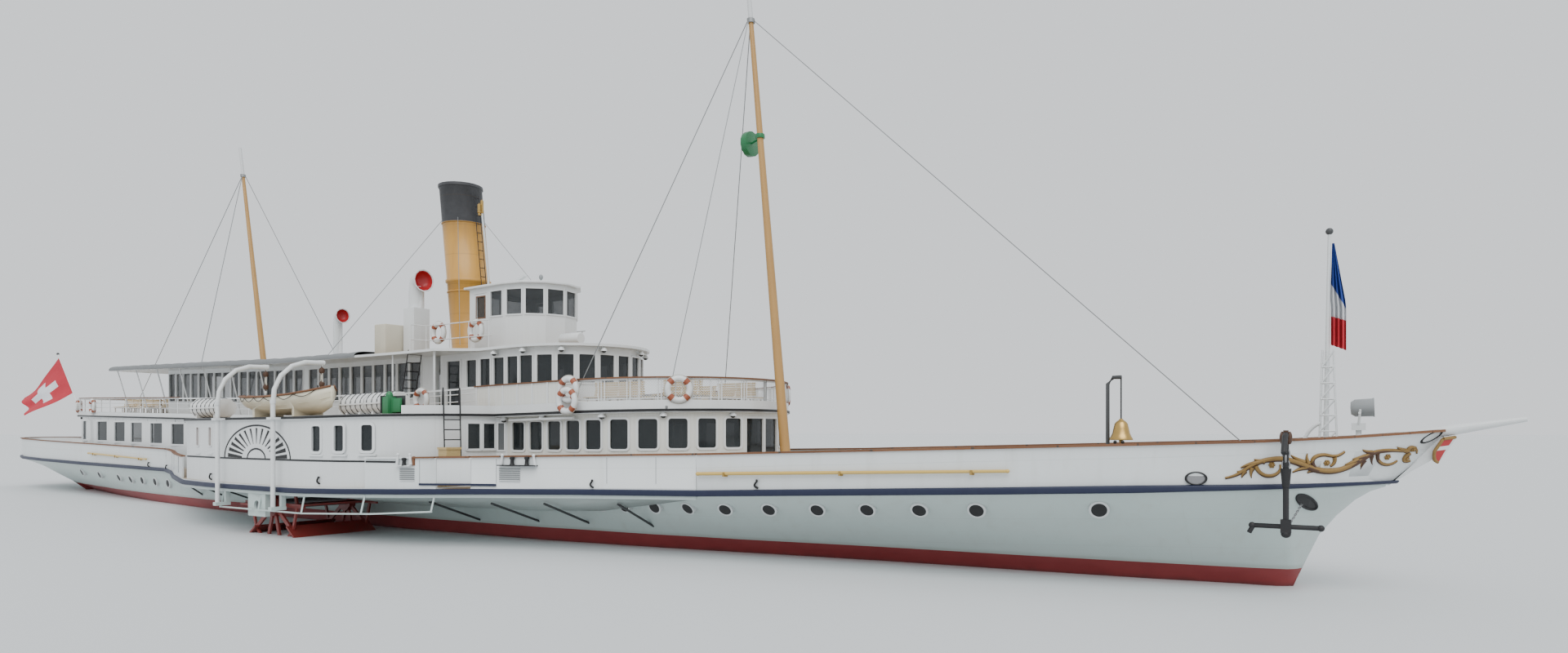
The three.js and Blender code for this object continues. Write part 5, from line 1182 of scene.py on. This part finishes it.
scrollStrokes = {"stem": (0.05, lambda s: 0.3 + 0.75 * math.sin(math.pi * s)),
                 "curls": (0.036, lambda s: 1.1 - 0.65 * s),
                 "leaves": (0.038, lambda s: 0.2 + 0.95 * s)}
for side, sign in (("starboard", -1), ("port", 1)):
    for part, (gauge, taper) in scrollStrokes.items():
        lines = [scrollSet["stem"]] if part == "stem" else scrollSet[part]
        carved = [[onBow(x, z, sign, 0.012) for x, z in path] for path in lines]
        # Under each gilded stroke lies a dark umber copy, a little lower and flush with the hull: a painted
        # shadow line.
        under = [[onBow(x + 0.006, z - 0.02, sign, 0.0) for x, z in path] for path in lines]
        pipes("bow_" + part + "_" + side, carved, gauge, "gold", smooth=True, taper=taper)
        pipes("bow_" + part + "_shade_" + side, under, gauge, "umber", smooth=True, taper=taper)
    flowers = bmesh.new()
    for x, z in scrollSet["flowers"]:
        spot, normal = sideSpot("hull", x, z, sign)
        turn = facing(spot + normal * 0.012, normal)
        for i in range(6):
            angle = math.tau * i / 6
            addBall(flowers, turn @ Vector((0.04 * math.cos(angle), 0.04 * math.sin(angle), 0)), 0.024,
                    sides=8)
        addBall(flowers, turn @ Vector((0, 0, 0.012)), 0.028, sides=10)
    toObject(flowers, "bow_flowers_" + side, "gold", smooth=60)

    collar = bmesh.new()
    addHoop(collar, bowPlace(28.81, 3.035, sign, -8, 0.004) @ Matrix.Diagonal((2.3, 1, 1, 1)), 0.085, 0.011,
            32, 6)
    toObject(collar, "bowsprit_collar_" + side, "black", smooth=60)

# Knee under the bowsprit, which hollows the stem's line, and the shield that it carries
kneeLine = [(28.12, 2.1), (28.2, 2.15), (28.35, 2.28), (28.58, 2.43), (28.8, 2.58), (28.93, 2.72),
            (29.03, 2.9),
            (29.06, 3.04), (28.96, 3.03), (28.6, 2.62), (28.16, 2.13)]
knee = bmesh.new()
face = knee.faces.new([knee.verts.new((x, -0.045, z)) for x, z in kneeLine])
grown = bmesh.ops.extrude_face_region(knee, geom=[face], use_keep_orig=True)["geom"]
bmesh.ops.translate(knee, vec=(0, 0.09, 0), verts=[v for v in grown if isinstance(v, bmesh.types.BMVert)])
bmesh.ops.recalc_face_normals(knee, faces=knee.faces[:])
bmesh.ops.bevel(knee, geom=[e for e in knee.edges if abs(e.verts[0].co.y - e.verts[1].co.y) < 0.01],
                offset=0.02,
                affect="EDGES", segments=2, profile=0.5, material=-1)
toObject(knee, "stem_knee", "white", smooth=40)

shieldSet = {"low": (28.93, 2.56), "top": (29.19, 3.03), "half": 0.17, "sweep": 1.15, "thick": 0.03}


def shieldSpot(across, up):
    reach = shieldSet["half"] * min(1, 0.08 + 1.4 * up ** 0.6) * across
    (x0, z0), (x1, z1) = shieldSet["low"], shieldSet["top"]
    sweep = abs(reach) * shieldSet["sweep"]
    return Vector((x0 + (x1 - x0) * up - sweep, reach, z0 + (z1 - z0) * up - sweep * 0.16))


shield = bmesh.new()
bmesh.ops.create_grid(shield, x_segments=20, y_segments=24, size=1)
for face in shield.faces:
    spot = face.calc_center_median()
    face.material_index = 1 if abs(spot.x) < 0.2 or abs(spot.y - 0.3) < 0.16 else 0
for vert in shield.verts:
    vert.co = shieldSpot(vert.co.x, (vert.co.y + 1) / 2)
bmesh.ops.solidify(shield, geom=shield.faces[:], thickness=shieldSet["thick"])
bmesh.ops.recalc_face_normals(shield, faces=shield.faces[:])
crest = toObject(shield, "stem_shield", "red", smooth=40)
crest.data.materials.append(finishes["white"])
rims = [[shieldSpot(across * 1.04, i / 14) for i in range(15)] for across in (-1, 1)]
rims.append([shieldSpot(-1 + i / 5, 1) for i in range(11)])
pipes("shield_rim", rims, 0.03, "gold", smooth=True)

# Anchor fittings: lashing blocks, a sleeve at the belt, the stock's bent end and a chain into the hawse pipe
ax, ay = 26.57, -2.204
gear, links, rings, blocks = bmesh.new(), bmesh.new(), bmesh.new(), bmesh.new()
addRod(gear, (ax, ay, 2.12), (ax, ay, 2.46), 0.062, 0.092, sides=14)
addBox(gear, (ax - 0.085, ay - 0.075, 1.29), (ax + 0.085, ay + 0.075, 1.53))
addBall(gear, (ax, ay, 1.27), 0.085, (1, 1, 0.9))
addRod(gear, (ax - 0.53, ay, 1.4), (ax - 0.6, ay, 1.26), 0.042)
for dx in (-0.55, 0.55):
    addBall(gear, (ax + dx, ay, 1.4), 0.06)
toObject(gear, "anchor_gear", "iron", smooth=45)
for i, z in enumerate((2.54, 2.64, 2.74, 2.84)):
    turn = Matrix.Translation((ax, ay, z)) @ Matrix.Rotation(math.pi / 2 * (i % 2), 4,
                                                             "Z") @ Matrix.Rotation(math.pi / 2, 4, "X")
    addHoop(rings, turn @ Matrix.Diagonal((0.85, 1.2, 1, 1)), 0.065, 0.019, 18, 7)
toObject(rings, "anchor_shackles", "steel", smooth=60)
for dx in (-0.06, 0.06):
    addBall(blocks, (ax + dx, ay, 3.02), 0.1, (0.45, 0.85, 1.2), 14)
addBox(blocks, (ax - 0.04, ay - 0.06, 2.9), (ax + 0.04, ay + 0.06, 3.16))
toObject(blocks, "anchor_blocks", "umber", smooth=45)
start, end = onBow(26.74, 1.8, -1, 0.06), Vector((ax, ay + 0.08, 1.34))
for i in range(15):
    spot = start.lerp(end, (i + 0.5) / 15)
    turn = facing(spot, end - start) @ Matrix.Rotation(math.pi / 2 * (i % 2), 4,
                                                       "Z") @ Matrix.Rotation(math.pi / 2, 4, "X")
    addHoop(links, turn @ Matrix.Diagonal((0.75, 1.25, 1, 1)), 0.024, 0.009, 10, 5)
toObject(links, "anchor_chain", "steel", smooth=60)

# Bell, with a sound bow and a crown, over the plain one on its post
bell = bmesh.new()
addTurned(bell, Matrix.Translation((23.19, 0, 0)), [(0.2, 2.95), (0.247, 2.944), (0.25, 2.97), (0.215, 3.03),
          (0.185, 3.1), (0.165, 3.2), (0.14, 3.31), (0.1, 3.36), (0.055, 3.39), (0.03, 3.42), (0, 3.42)], 28)
addBall(bell, (23.19, 0, 2.92), 0.05)
addRod(bell, (23.19, 0, 2.94), (23.19, 0, 3.2), 0.015)
toObject(bell, "ship_bell", "brass", smooth=40)
guides = bmesh.new()
for x, z in ((23.13, 2.9), (23.29, 2.9)):
    addRod(guides, (x, -0.3, 1.55 + mainRise(x) + 0.003), (x, -0.3, z), 0.022)
    addBall(guides, (x, -0.3, z), 0.04)
toObject(guides, "bell_guides", "black", smooth=50)
print("bow ornament and anchor gear set")

# Black lines and dark backing on the paddle boxes
boxTrim = {"arches": [{"across": 1.94, "up": 1.03, "band": 0.05}, {"across": 0.55, "up": 0.33, "band": 0.05}],
           "centre": (-0.08, 2.31), "line": 2.31, "proud": 0.01}
for side, sign in (("starboard", -1), ("port", 1)):
    arches = bmesh.new()
    cx, cz = boxTrim["centre"]
    for arch in boxTrim["arches"]:
        rows = []
        for i in range(37):
            angle = math.pi * i / 36
            outer, inner = arch["across"], arch["across"] - arch["band"]
            high, low = arch["up"], arch["up"] - arch["band"]
            rows.append(((cx + outer * math.cos(angle), sign * 7.089, cz + high * math.sin(angle)),
                         (cx + inner * math.cos(angle), sign * 7.089, cz + low * math.sin(angle))))
        addRibbon(arches, rows, (0, sign * boxTrim["proud"], 0))
    rows = [((x, sign * (between(boxSide, x) + 0.002), boxTrim["line"] - 0.025),
             (x, sign * (between(boxSide, x) + 0.002),
              boxTrim["line"] + 0.025)) for x in steps(-5.86, 4.92, 60)]
    addRibbon(arches, rows, (0, sign * 0.008, 0))
    for run, low, high in (((4.93, 5.2, 5.5, 5.8, 5.98), -0.025, 0.025), ((-5.86, -5.82), -0.14, 0.03)):
        spots = [outerSpot(x, boxTrim["line"], side, sign, 0.002) for x in run]
        rows = [((p.x, p.y, p.z + low), (p.x, p.y, p.z + high)) for p in spots]
        addRibbon(arches, rows, (0, sign * 0.01, 0))
    toObject(arches, "box_lines_" + side, "black", smooth=30)
    backing = bmesh.new()
    addBox(backing, (-1.95, sign * 7.066 - 0.006, 2.33), (1.8, sign * 7.066 + 0.006, 3.3))
    toObject(backing, "box_backing_" + side, "black", smooth=0)

    # Bollards, louvred lockers, a sill under the gangway and the seams of the bulwark's plates
    bits, dark, grey, sills = bmesh.new(), bmesh.new(), bmesh.new(), bmesh.new()
    for x0, x1, low in ((5.98, 6.38, 2.2), (8.84, 9.92, 2.24)):
        rows = []
        for x in steps(x0, x1, 5):
            spot = outerSpot(x, low + 0.05, side, sign)
            rows.append(((x, spot.y - sign * 0.01, low), (x, spot.y + sign * 0.13, low)))
        addRibbon(bits if x0 < 8 else dark, rows, (0, 0, 0.025))
    for x, low, high in ((6.2, 2.22, 2.4), (9.24, 2.26, 2.45), (9.66, 2.26, 2.455)):
        y = outerSpot(x, low + 0.05, side, sign).y + sign * 0.07
        addTurned(dark, Matrix.Translation((x, y, 0)),
                  [(0, low), (0.07, low), (0.05, low + 0.04), (0.045, high - 0.06),
                  (0.065, high - 0.02), (0.06, high + 0.02), (0, high + 0.035)], 18)
    for x, lean in ((8.9, 0.05), (9.88, -0.05), (5.99, 0.04), (6.37, -0.04)):
        y = outerSpot(x, 2.25, side, sign).y + sign * 0.05
        addRod(bits, (x, y, 2.24), (x + lean, y, 2.5), 0.045, 0.03, 12)
        addBall(bits, (x + lean, y, 2.51), 0.045)
    spots = [outerSpot(x, 1.8, side, sign, 0.004) for x in steps(6.57, 8.72, 8)]
    addRibbon(sills, [((p.x, p.y, 1.66 + mainRise(p.x) * 0.4),
                       (p.x, p.y, 1.715 + mainRise(p.x) * 0.4)) for p in spots],
              (0, sign * 0.03, 0))
    toObject(sills, "gangway_sill_" + side, "navy", smooth=0)
    seams = []
    for x in (6.57, 8.72, 11.9, 13.3, -7.3, -9.6, -12.0):
        rim = waistTop["aft" if x < 0 else "mid" if x < 7 else "fore"]
        top = between([(a, c) for a, _, c in rim], x) - 0.04
        seams.append([outerSpot(x, z, side, sign, 0.002) for z in steps(1.66 + mainRise(x), top, 4)])
    pipes("bulwark_seams_" + side, seams, 0.007, "grey", sides=1)
    struts = []
    for x, out, low, high in ((5.4, 5.05, 0.47, 1.13), (7.9, 4.9, 0.56, 1.18), (9.75, 4.7, 0.6, 1.24),
                              (12.0, 4.3, 0.63, 1.3),
                              (-7.4, 5.0, 0.5, 1.15), (-9.6, 4.6, 0.52, 1.15), (-11.8, 4.2, 0.55, 1.18)):
        inner = sideSpot("hull", x, low, sign)[0]
        struts.append([(x, inner.y - sign * 0.02, low), (x, sign * out, high)])
    pipes("sponson_struts_" + side, struts, 0.032, "dark")
    for x0, x1, z0 in ((6.03, 6.44, 1.83), (8.82, 9.42, 1.87)):
        run = [(4.95, 6.72), (6, 6.4), (6.98, 6.01), (7.98, 5.61), (11, 4.75), (14.38, 4.15)]
        ends = [Vector((x, sign * (between(run, x) + 0.012), 0)) for x in (x0, x1)]
        for i in range(6):
            low = z0 + i * 0.055
            rows = [((p.x, p.y, low), (p.x, p.y + sign * 0.02, low + 0.03)) for p in ends]
            addRibbon(grey, rows, (0, -sign * 0.012, 0))
        for low in (z0 - 0.025, z0 + 0.33):
            rows = [((p.x, p.y + sign * 0.012, low), (p.x, p.y + sign * 0.012, low + 0.02)) for p in ends]
            addRibbon(bits, rows, (0, -sign * 0.03, 0))
    toObject(bits, "fairlead_brackets_" + side, "white", smooth=40)
    toObject(dark, "fairlead_rollers_" + side, "black", smooth=40)
    toObject(grey, "side_louvres_" + side, "grey", smooth=0)
print("paddle boxes lined")

# Falls on the davits: two brown blocks and their ropes, swinging with each davit
davitSet = {"reach": 5.9, "head": 5.2, "upper": 4.97, "lower": 4.56, "rope": 0.012}
for place, x in (("aft", -1.9), ("fore", 1.36)):
    for side, sign in (("starboard", -1), ("port", 1)):
        body = "davit_" + place + "_" + side
        y = sign * davitSet["reach"]
        blocks, ropes = bmesh.new(), []
        for z in (davitSet["upper"], davitSet["lower"]):
            for dx in (-0.035, 0.035):
                addBall(blocks, (x + dx, y, z), 0.075, (0.42, 0.95, 1.25), 14)
            addBox(blocks, (x - 0.016, y - 0.012, z - 0.13), (x + 0.016, y + 0.012, z + 0.14))
        toObject(blocks, "fall_blocks_" + place + "_" + side, "umber", body, smooth=45)
        for dx in (-0.05, -0.017, 0.017, 0.05):
            ropes.append([(x + dx, y, davitSet["lower"] + 0.05), (x + dx * 0.8, y, davitSet["upper"] - 0.05)])
        ropes.append([(x, y, davitSet["upper"] + 0.1), (x, y, davitSet["head"] - 0.02)])
        pipes("fall_ropes_" + place + "_" + side, ropes, davitSet["rope"], "rope", body)
        iron = bmesh.new()
        addRod(iron, (x, sign * 5.83, 5.2), (x, sign * 5.99, 5.2), 0.078, 0.074, 14)
        addHoop(iron, Matrix.Translation((x, y, 5.13)) @ Matrix.Rotation(math.pi / 2, 4, "X"), 0.035, 0.013,
                14, 6)
        hook = Matrix.Translation((x, y, davitSet["lower"] - 0.17)) @ Matrix.Rotation(math.pi / 2, 4, "X")
        addHoop(iron, hook, 0.035, 0.013, 14, 6)
        addRod(iron, (x, sign * 7.34, 3.94), (x, sign * 7.34, 4.05), 0.08, 0.08, 14)
        toObject(iron, "davit_irons_" + place + "_" + side, "white", body, smooth=45)

# Lifeboats: a brown gunwale, planks' laps and a fixed grab line
boatLine = [(-2.9, 0.04, 4.28), (-2.5, 0.4, 4.24), (-1.6, 0.66, 4.2), (-0.3, 0.76, 4.19), (0.9, 0.66, 4.24),
            (1.7, 0.38, 4.36), (2.14, 0.05, 4.48)]
boatKeel = [(-2.9, 4.0), (-2.5, 3.82), (-1.6, 3.68), (-0.3, 3.63), (0.9, 3.63), (1.7, 3.7), (2.14, 3.86)]
for side, sign in (("starboard", -1), ("port", 1)):
    trims, laps, grabs = [], [], []
    for out in (-1, 1):
        edge = [(x, sign * 6.02 + out * half, top + 0.004) for x, half, top in boatLine]
        trims.append([Vector(a).lerp(Vector(b), t) for a,
                      b in zip(edge, edge[1:]) for t in (0, 0.5)] + [Vector(edge[-1])])
        for share, width in ((0.72, 0.955), (0.5, 0.81), (0.32, 0.65)):
            laps.append([(x, sign * 6.02 + out * (half * width + 0.004), keel + (top - keel) * share)
                         for (x, half, top), (_, keel) in zip(boatLine, boatKeel)])
        for i in range(6):
            x0, x1 = -2.3 + i * 0.68, -2.3 + (i + 1) * 0.68
            run = []
            for j in range(7):
                x = x0 + (x1 - x0) * j / 6
                half = between([(a, b) for a, b, _ in boatLine], x)
                top = between([(a, c) for a, _, c in boatLine], x)
                sag = 0.12 * math.sin(math.pi * j / 6)
                run.append((x, sign * 6.02 + out * (half + 0.018), top - 0.03 - sag))
            grabs.append(run)
    pipes("boat_gunwales_" + side, trims, 0.032, "varnish")
    pipes("boat_laps_" + side, laps, 0.007, "cream", smooth=True)
    pipes("boat_grab_lines_" + side, grabs, 0.01, "black", smooth=True)
    posts = [[(x, sign * 6.02, z0), (x, sign * 6.02, z1)] for x, z0,
             z1 in ((-1.9, 4.2, 4.5), (1.36, 4.3, 4.52))]
    pipes("boat_lifting_irons_" + side, posts, 0.02, "iron")

# Raft canisters: straps round them and the seams of their two moulded halves
raftSet = [{"x": (3.34, 4.62), "y": 5.45, "z": 3.92}, {"x": (2.02, 3.28), "y": 5.45, "z": 3.92},
           {"x": (-5.86, -4.02), "y": 6.1, "z": 3.92}]
for side, sign in (("starboard", -1), ("port", 1)):
    straps, seams = bmesh.new(), bmesh.new()
    for row in raftSet:
        x0, x1 = row["x"]
        count = 6 if x1 - x0 > 1.5 else 5
        for i in range(count):
            x = x0 + (x1 - x0) * (0.1 + 0.8 * i / (count - 1))
            place = (Matrix.Translation((x, sign * row["y"], row["z"] + upperRise(x)))
                     @ Matrix.Rotation(math.pi / 2, 4, "Y"))
            addHoop(straps, place, 0.33, 0.011, 24, 6)
        for out in (-1, 1):
            rows = [((x, sign * row["y"] + out * 0.322, row["z"] + upperRise(x) - 0.02),
                     (x, sign * row["y"] + out * 0.322,
                      row["z"] + upperRise(x) + 0.02)) for x in (x0 + 0.02, x1 - 0.02)]
            addRibbon(seams, rows, (0, out * 0.02, 0))
    toObject(straps, "raft_straps_" + side, "dark", smooth=50)
    toObject(seams, "raft_seams_" + side, "plastic", smooth=0)

# Side lamps: a dome lens in a dark screen
for side, sign, tone in (("starboard", -1, "green"), ("port", 1, "red")):
    screen, dome = bmesh.new(), bmesh.new()
    x0, base = 4.74, promenadeTop + upperRise(5)
    addBox(screen, (x0, sign * 5.84 - 0.012, base + 0.02), (5.44, sign * 5.84 + 0.012, base + 0.52))
    addBox(screen, (x0 - 0.012, min(sign * 5.83, sign * 6.14), base + 0.02),
           (x0 + 0.012, max(sign * 5.83, sign * 6.14), base + 0.52))
    addTurned(dome, Matrix.Translation((4.93, sign * 5.99, base + 0.49)),
              [(0.1, 0), (0.1, 0.06), (0.075, 0.12), (0.03, 0.15), (0, 0.155)], 16)
    toObject(screen, "lamp_screen_" + side, "dark", smooth=0)
    toObject(dome, "lamp_dome_" + side, tone, smooth=50)
print("boats, rafts and lamps fitted")

# Grey canvas over the awning deck, slightly slack between its hoops
awningEdge = [(-21.6, 2.0), (-21.45, 3.15), (-18, 3.3), (-12.5, 3.4), (-6, 3.42), (-1.02, 3.42)]
awningRows = []
canvas = bmesh.new()
for x in [-21.58, -21.45] + steps(-21.2, -1.03, 70):
    half = between(awningEdge, x) - 0.01
    slack = 0.012 * math.cos(math.tau * (x + 21.6) / 1.13)
    line = [(1.006, 5.65), (1.006, 5.73), (0.99, 5.79 + slack), (0.955, 5.84 + slack), (0.9, 5.87 + slack),
            (0.6, 5.9 + slack), (0.25, 5.92 + slack)]
    full = line + [(0, 5.925 + slack)] + [(-share, z) for share, z in reversed(line)]
    drop = 0.14 if x < -21.5 else 0
    awningRows.append([canvas.verts.new((x, half * share,
                                         lifted(x,
                                                z if z < 5.7 else max(z - drop, 5.7)))) for share, z in full])
for first, second in zip(awningRows, awningRows[1:]):
    for i in range(len(first) - 1):
        canvas.faces.new((first[i], first[i + 1], second[i + 1], second[i]))
bmesh.ops.recalc_face_normals(canvas, faces=canvas.faces[:])
toObject(canvas, "awning_canvas", "awning", smooth=60)

# Round lamps under the eaves and under the promenade deck, each a dish with a caged lens
lampSet = {"eaves": [(4.9, 2.4, 5.5), (6.2, 2.38, 5.5), (7.35, 1.88, 5.5), (8.1, 0.84, 5.5)],
           "deck": [(6.9, 3.66, 3.36), (8.5, 3.66, 3.36), (10.7, 3.56, 3.36), (12.2, 2.8, 3.36),
                    (13.3, 1.2, 3.36)]}
shades, cages = bmesh.new(), bmesh.new()
for row, places in lampSet.items():
    for x, y, z in places:
        for sign in (-1, 1):
            spot = Matrix.Translation((x, sign * y, lifted(x, z)))
            addTurned(shades, spot, [(0, 0.11), (0.05, 0.11), (0.105, 0.03), (0.11, 0.0), (0.095, 0.0),
                                     (0, 0.03)], 18)
            addBall(cages, (x, sign * y, lifted(x, z) - 0.005), 0.07, (1, 1, 0.75), 14)
toObject(shades, "lamp_dishes", "white", smooth=45)
toObject(cages, "lamp_cages", "dark", smooth=45)

# Whistle and its pipe before the funnel
pipes("whistle_pipe", [[(2.0, -0.3, 8.1), (1.99, -0.3, 8.52), (1.66, -0.3, 10.8)]], 0.035, "steelPaint")
whistle = bmesh.new()
for y, high in ((-0.3, 11.25), (-0.42, 11.1)):
    addTurned(whistle, Matrix.Translation((1.65, y, 0)),
              [(0, 10.72), (0.035, 10.72), (0.035, 10.8), (0.06, 10.82),
              (0.06, 10.86), (0.045, 10.87), (0.055, 10.9), (0.055, high), (0.02, high + 0.03),
              (0, high + 0.06)], 16)
addRod(whistle, (1.65, -0.3, 10.76), (1.65, -0.42, 10.76), 0.025)
toObject(whistle, "whistle", "brass", smooth=40)

# Funnel: two raised hoops, a ladder up its side and stays to the deck
def funnelAt(z, angle, out=0.0):                             # a point on the raked funnel's skin
    spot, normal = hitSkin("funnel", (funnelLine(z) + 4 * math.cos(angle), 4 * math.sin(angle), z),
                           (-math.cos(angle), -math.sin(angle), 0))
    return spot + normal * out


def funnelLine(z):                                           # where the raked funnel's middle is at a height
    low, high = [hitSkin("funnel", (20, 0, z), (-1, 0, 0))[0], hitSkin("funnel", (-20, 0, z), (1, 0, 0))[0]]
    return (low.x + high.x) / 2


hoops = [[funnelAt(z, math.tau * i / 36, 0.01) for i in range(37)] for z in (8.12, 10.63)]
pipes("funnel_hoops", hoops, 0.03, "funnel")
rungs = []
for angle in (-0.12, 0.12):
    rungs.append([funnelAt(z, angle, 0.1) for z in steps(7.9, 11.6, 8)])
for z in steps(8.0, 11.5, 12):
    rungs.append([funnelAt(z, -0.12, 0.1), funnelAt(z, 0.12, 0.1)])
pipes("funnel_ladder", rungs, 0.014, "iron", sides=1)
stays = [[funnelAt(10.75, angle, 0.01), (x, y, 5.85)] for angle, x, y in (
    (0.9, 3.9, 2.9), (-0.9, 3.9, -2.9), (2.3, -3.2, 3.1), (-2.3, -3.2, -3.1))]
pipes("funnel_stays", stays, 0.009, "wire", sides=1)

# Radar scanner, lamp and horn on the wheelhouse roof, and a raft drum on the bridge deck before it
roof, horn = bmesh.new(), bmesh.new()
roofTop = hitSkin("wheelhouse_roof", (3.6, -0.3, 12), (0, 0, -1))[0].z
addTurned(roof, Matrix.Translation((3.6, -0.3, roofTop - 0.02)),
          [(0.17, 0), (0.15, 0.1), (0.07, 0.16), (0.05, 0.24), (0, 0.24)], 20)
addBox(roof, (3.27, -0.36, roofTop + 0.25), (3.93, -0.24, roofTop + 0.33),
       Matrix.Rotation(math.radians(-22), 4, "Y"))
toObject(roof, "roof_scanner", "white", smooth=40)
tip = hitSkin("wheelhouse_roof", (4.9, -0.5, 12), (0, 0, -1))[0]
if tip:
    addRod(horn, (4.9, -0.5, tip.z - 0.02), (4.9, -0.5, tip.z + 0.14), 0.025)
    addBall(horn, (4.9, -0.5, tip.z + 0.2), 0.07, (1, 1, 1.3))
toObject(horn, "roof_lamp", "grey", smooth=50)
drum = bmesh.new()
base = lifted(7.2, 5.74)
addTurned(drum, Matrix.Translation((6.75, -0.9, base + 0.22)) @ Matrix.Rotation(math.pi / 2, 4, "Y"),
          [(0, -0.42), (0.16, -0.42), (0.19, -0.38), (0.19, 0.0), (0.2, 0.0), (0.2, 0.04), (0.19, 0.04),
           (0.19, 0.38),
           (0.16, 0.42), (0, 0.42)], 22)
for x in (6.5, 7.0):
    addBox(drum, (x - 0.04, -1.05, base - 0.02), (x + 0.04, -0.75, base + 0.08))
toObject(drum, "deck_drum", "white", smooth=40)

# Canvas roll under the promenade's edge and a crate behind the deck ladder
for side, sign in (("starboard", -1), ("port", 1)):
    pipes("canvas_roll_" + side, [[(7.2, sign * 3.7, lifted(7.2, 3.36)),
                                   (9.8, sign * 3.7, lifted(9.8, 3.36))]], 0.045, "white")
    crate = bmesh.new()
    addBox(crate, (6.5, min(sign * 5.1, sign * 5.55), 1.64), (6.86, max(sign * 5.1, sign * 5.55), 2.68))
    addBox(crate, (6.48, min(sign * 5.08, sign * 5.57), 2.64), (6.88, max(sign * 5.08, sign * 5.57), 2.7))
    toObject(crate, "deck_crate_" + side, "bench", smooth=0)
print("awning, lamps and whistle set")

# Flags: woven cloth. The ensign flies aft from its raked staff, the jack hangs limp at the bow
def flagCloth(name, bands):
    paint = Paint(name)
    x, y, z = paint.axes()
    spot = paint.node("ShaderNodeUVMap", {"uv_map": "cloth"})
    u, v = [paint.node("ShaderNodeSeparateXYZ", {}, {0: spot}, k) for k in (0, 1)]
    colour = bands(paint, u, v, x, z)
    soil = paint.noise(1.5, 4)
    colour = paint.mix(soil * 0.35, colour, (0.12, 0.1, 0.1), "MULTIPLY")
    weave = paint.line(u * 300, 2, 1) + paint.line(v * 300, 2, 1)
    return paint.finish(colour, soil * 0.1 + 0.75, normal=paint.bump(soil + weave * 0.1, 0.2, 0.002))


def crossBands(paint, u, v, x, z):
    upright = (abs(u - 0.5) < 0.09) * (abs(v - 0.5) < 0.31)
    level = (abs(u - 0.5) < 0.29) * (abs(v - 0.5) < 0.1)
    return paint.mix(upright.larger(level), (0.56, 0.03, 0.05), (0.76, 0.79, 0.83))


def threeBands(paint, u, v, x, z):
    blue = z > 5.83 - (x - 27.32) * 2.0
    redPart = z < 5.38 - (x - 27.32) * 0.4
    return paint.mix(redPart, paint.mix(blue, (0.74, 0.76, 0.78), (0.025, 0.07, 0.36)), (0.62, 0.03, 0.05))


finishes["ensign"] = flagCloth("ensignCloth", crossBands)
finishes["jack"] = flagCloth("jackCloth", threeBands)


# Shape turns a place on the cloth, 0 to 1 each way, into a point
def addCloth(name, shape, columns, rows, finish, node):
    cloth = bmesh.new()
    bmesh.ops.create_grid(cloth, x_segments=columns, y_segments=rows, size=1)
    uv = cloth.loops.layers.uv.new("cloth")
    for face in cloth.faces:
        for loop in face.loops:
            loop[uv].uv = ((loop.vert.co.x + 1) / 2, (loop.vert.co.y + 1) / 2)
    for vert in cloth.verts:
        vert.co = shape((vert.co.x + 1) / 2, (vert.co.y + 1) / 2)
    return toObject(cloth, name, finish, smooth=80, replaces=[node])


ensignSet = {"high": (-37.19, 0, 7.5), "low": (-35.09, 0, 5.37), "flyHigh": (-40.62, -0.72, 5.17),
             "flyLow": (-38.24, -1.28, 4.05), "fold": 0.13}


def ensignShape(u, v):                                       # u runs aft along the fly, v up the hoist
    hoist = Vector(ensignSet["low"]).lerp(Vector(ensignSet["high"]), v)
    fly = Vector(ensignSet["flyLow"]).lerp(Vector(ensignSet["flyHigh"]), v)
    spot = hoist.lerp(fly, u)
    spot.z -= 0.22 * math.sin(math.pi * u) * (0.4 + 0.6 * v)
    wave = math.sin(v * 9.5 - u * 2.2) * u ** 0.8 + 0.7 * math.sin(u * 7.0 + v * 2.5) * u
    spot.y += ensignSet["fold"] * wave
    return spot


ensignFlag = addCloth("ensign_cloth", ensignShape, 44, 32, "ensign", "ensign")


# Gathered at its top corner, pleated further down
def jackShape(u, v):
    drop = 1 - v
    z = 6.88 - 2.08 * drop - 0.12 * (u - 0.5) * drop
    half = min(0.02 + 0.2 * drop, 0.13)
    pleat = min(0.01 + 0.12 * drop, 0.07)
    x = 27.235 + 0.09 * min(1, drop * 1.6) + half * (2 * u - 1)
    return Vector((x, pleat * math.sin(u * math.pi * 7), z))


jackFlag = addCloth("jack_cloth", jackShape, 70, 30, "jack", "jack_flag")
balls = bmesh.new()
addBall(balls, (-37.36, 0, 7.72), 0.075)
addBall(balls, (27.17, 0, 7.12), 0.07)
toObject(balls, "staff_trucks", "dark", smooth=50)
print("flags hung")
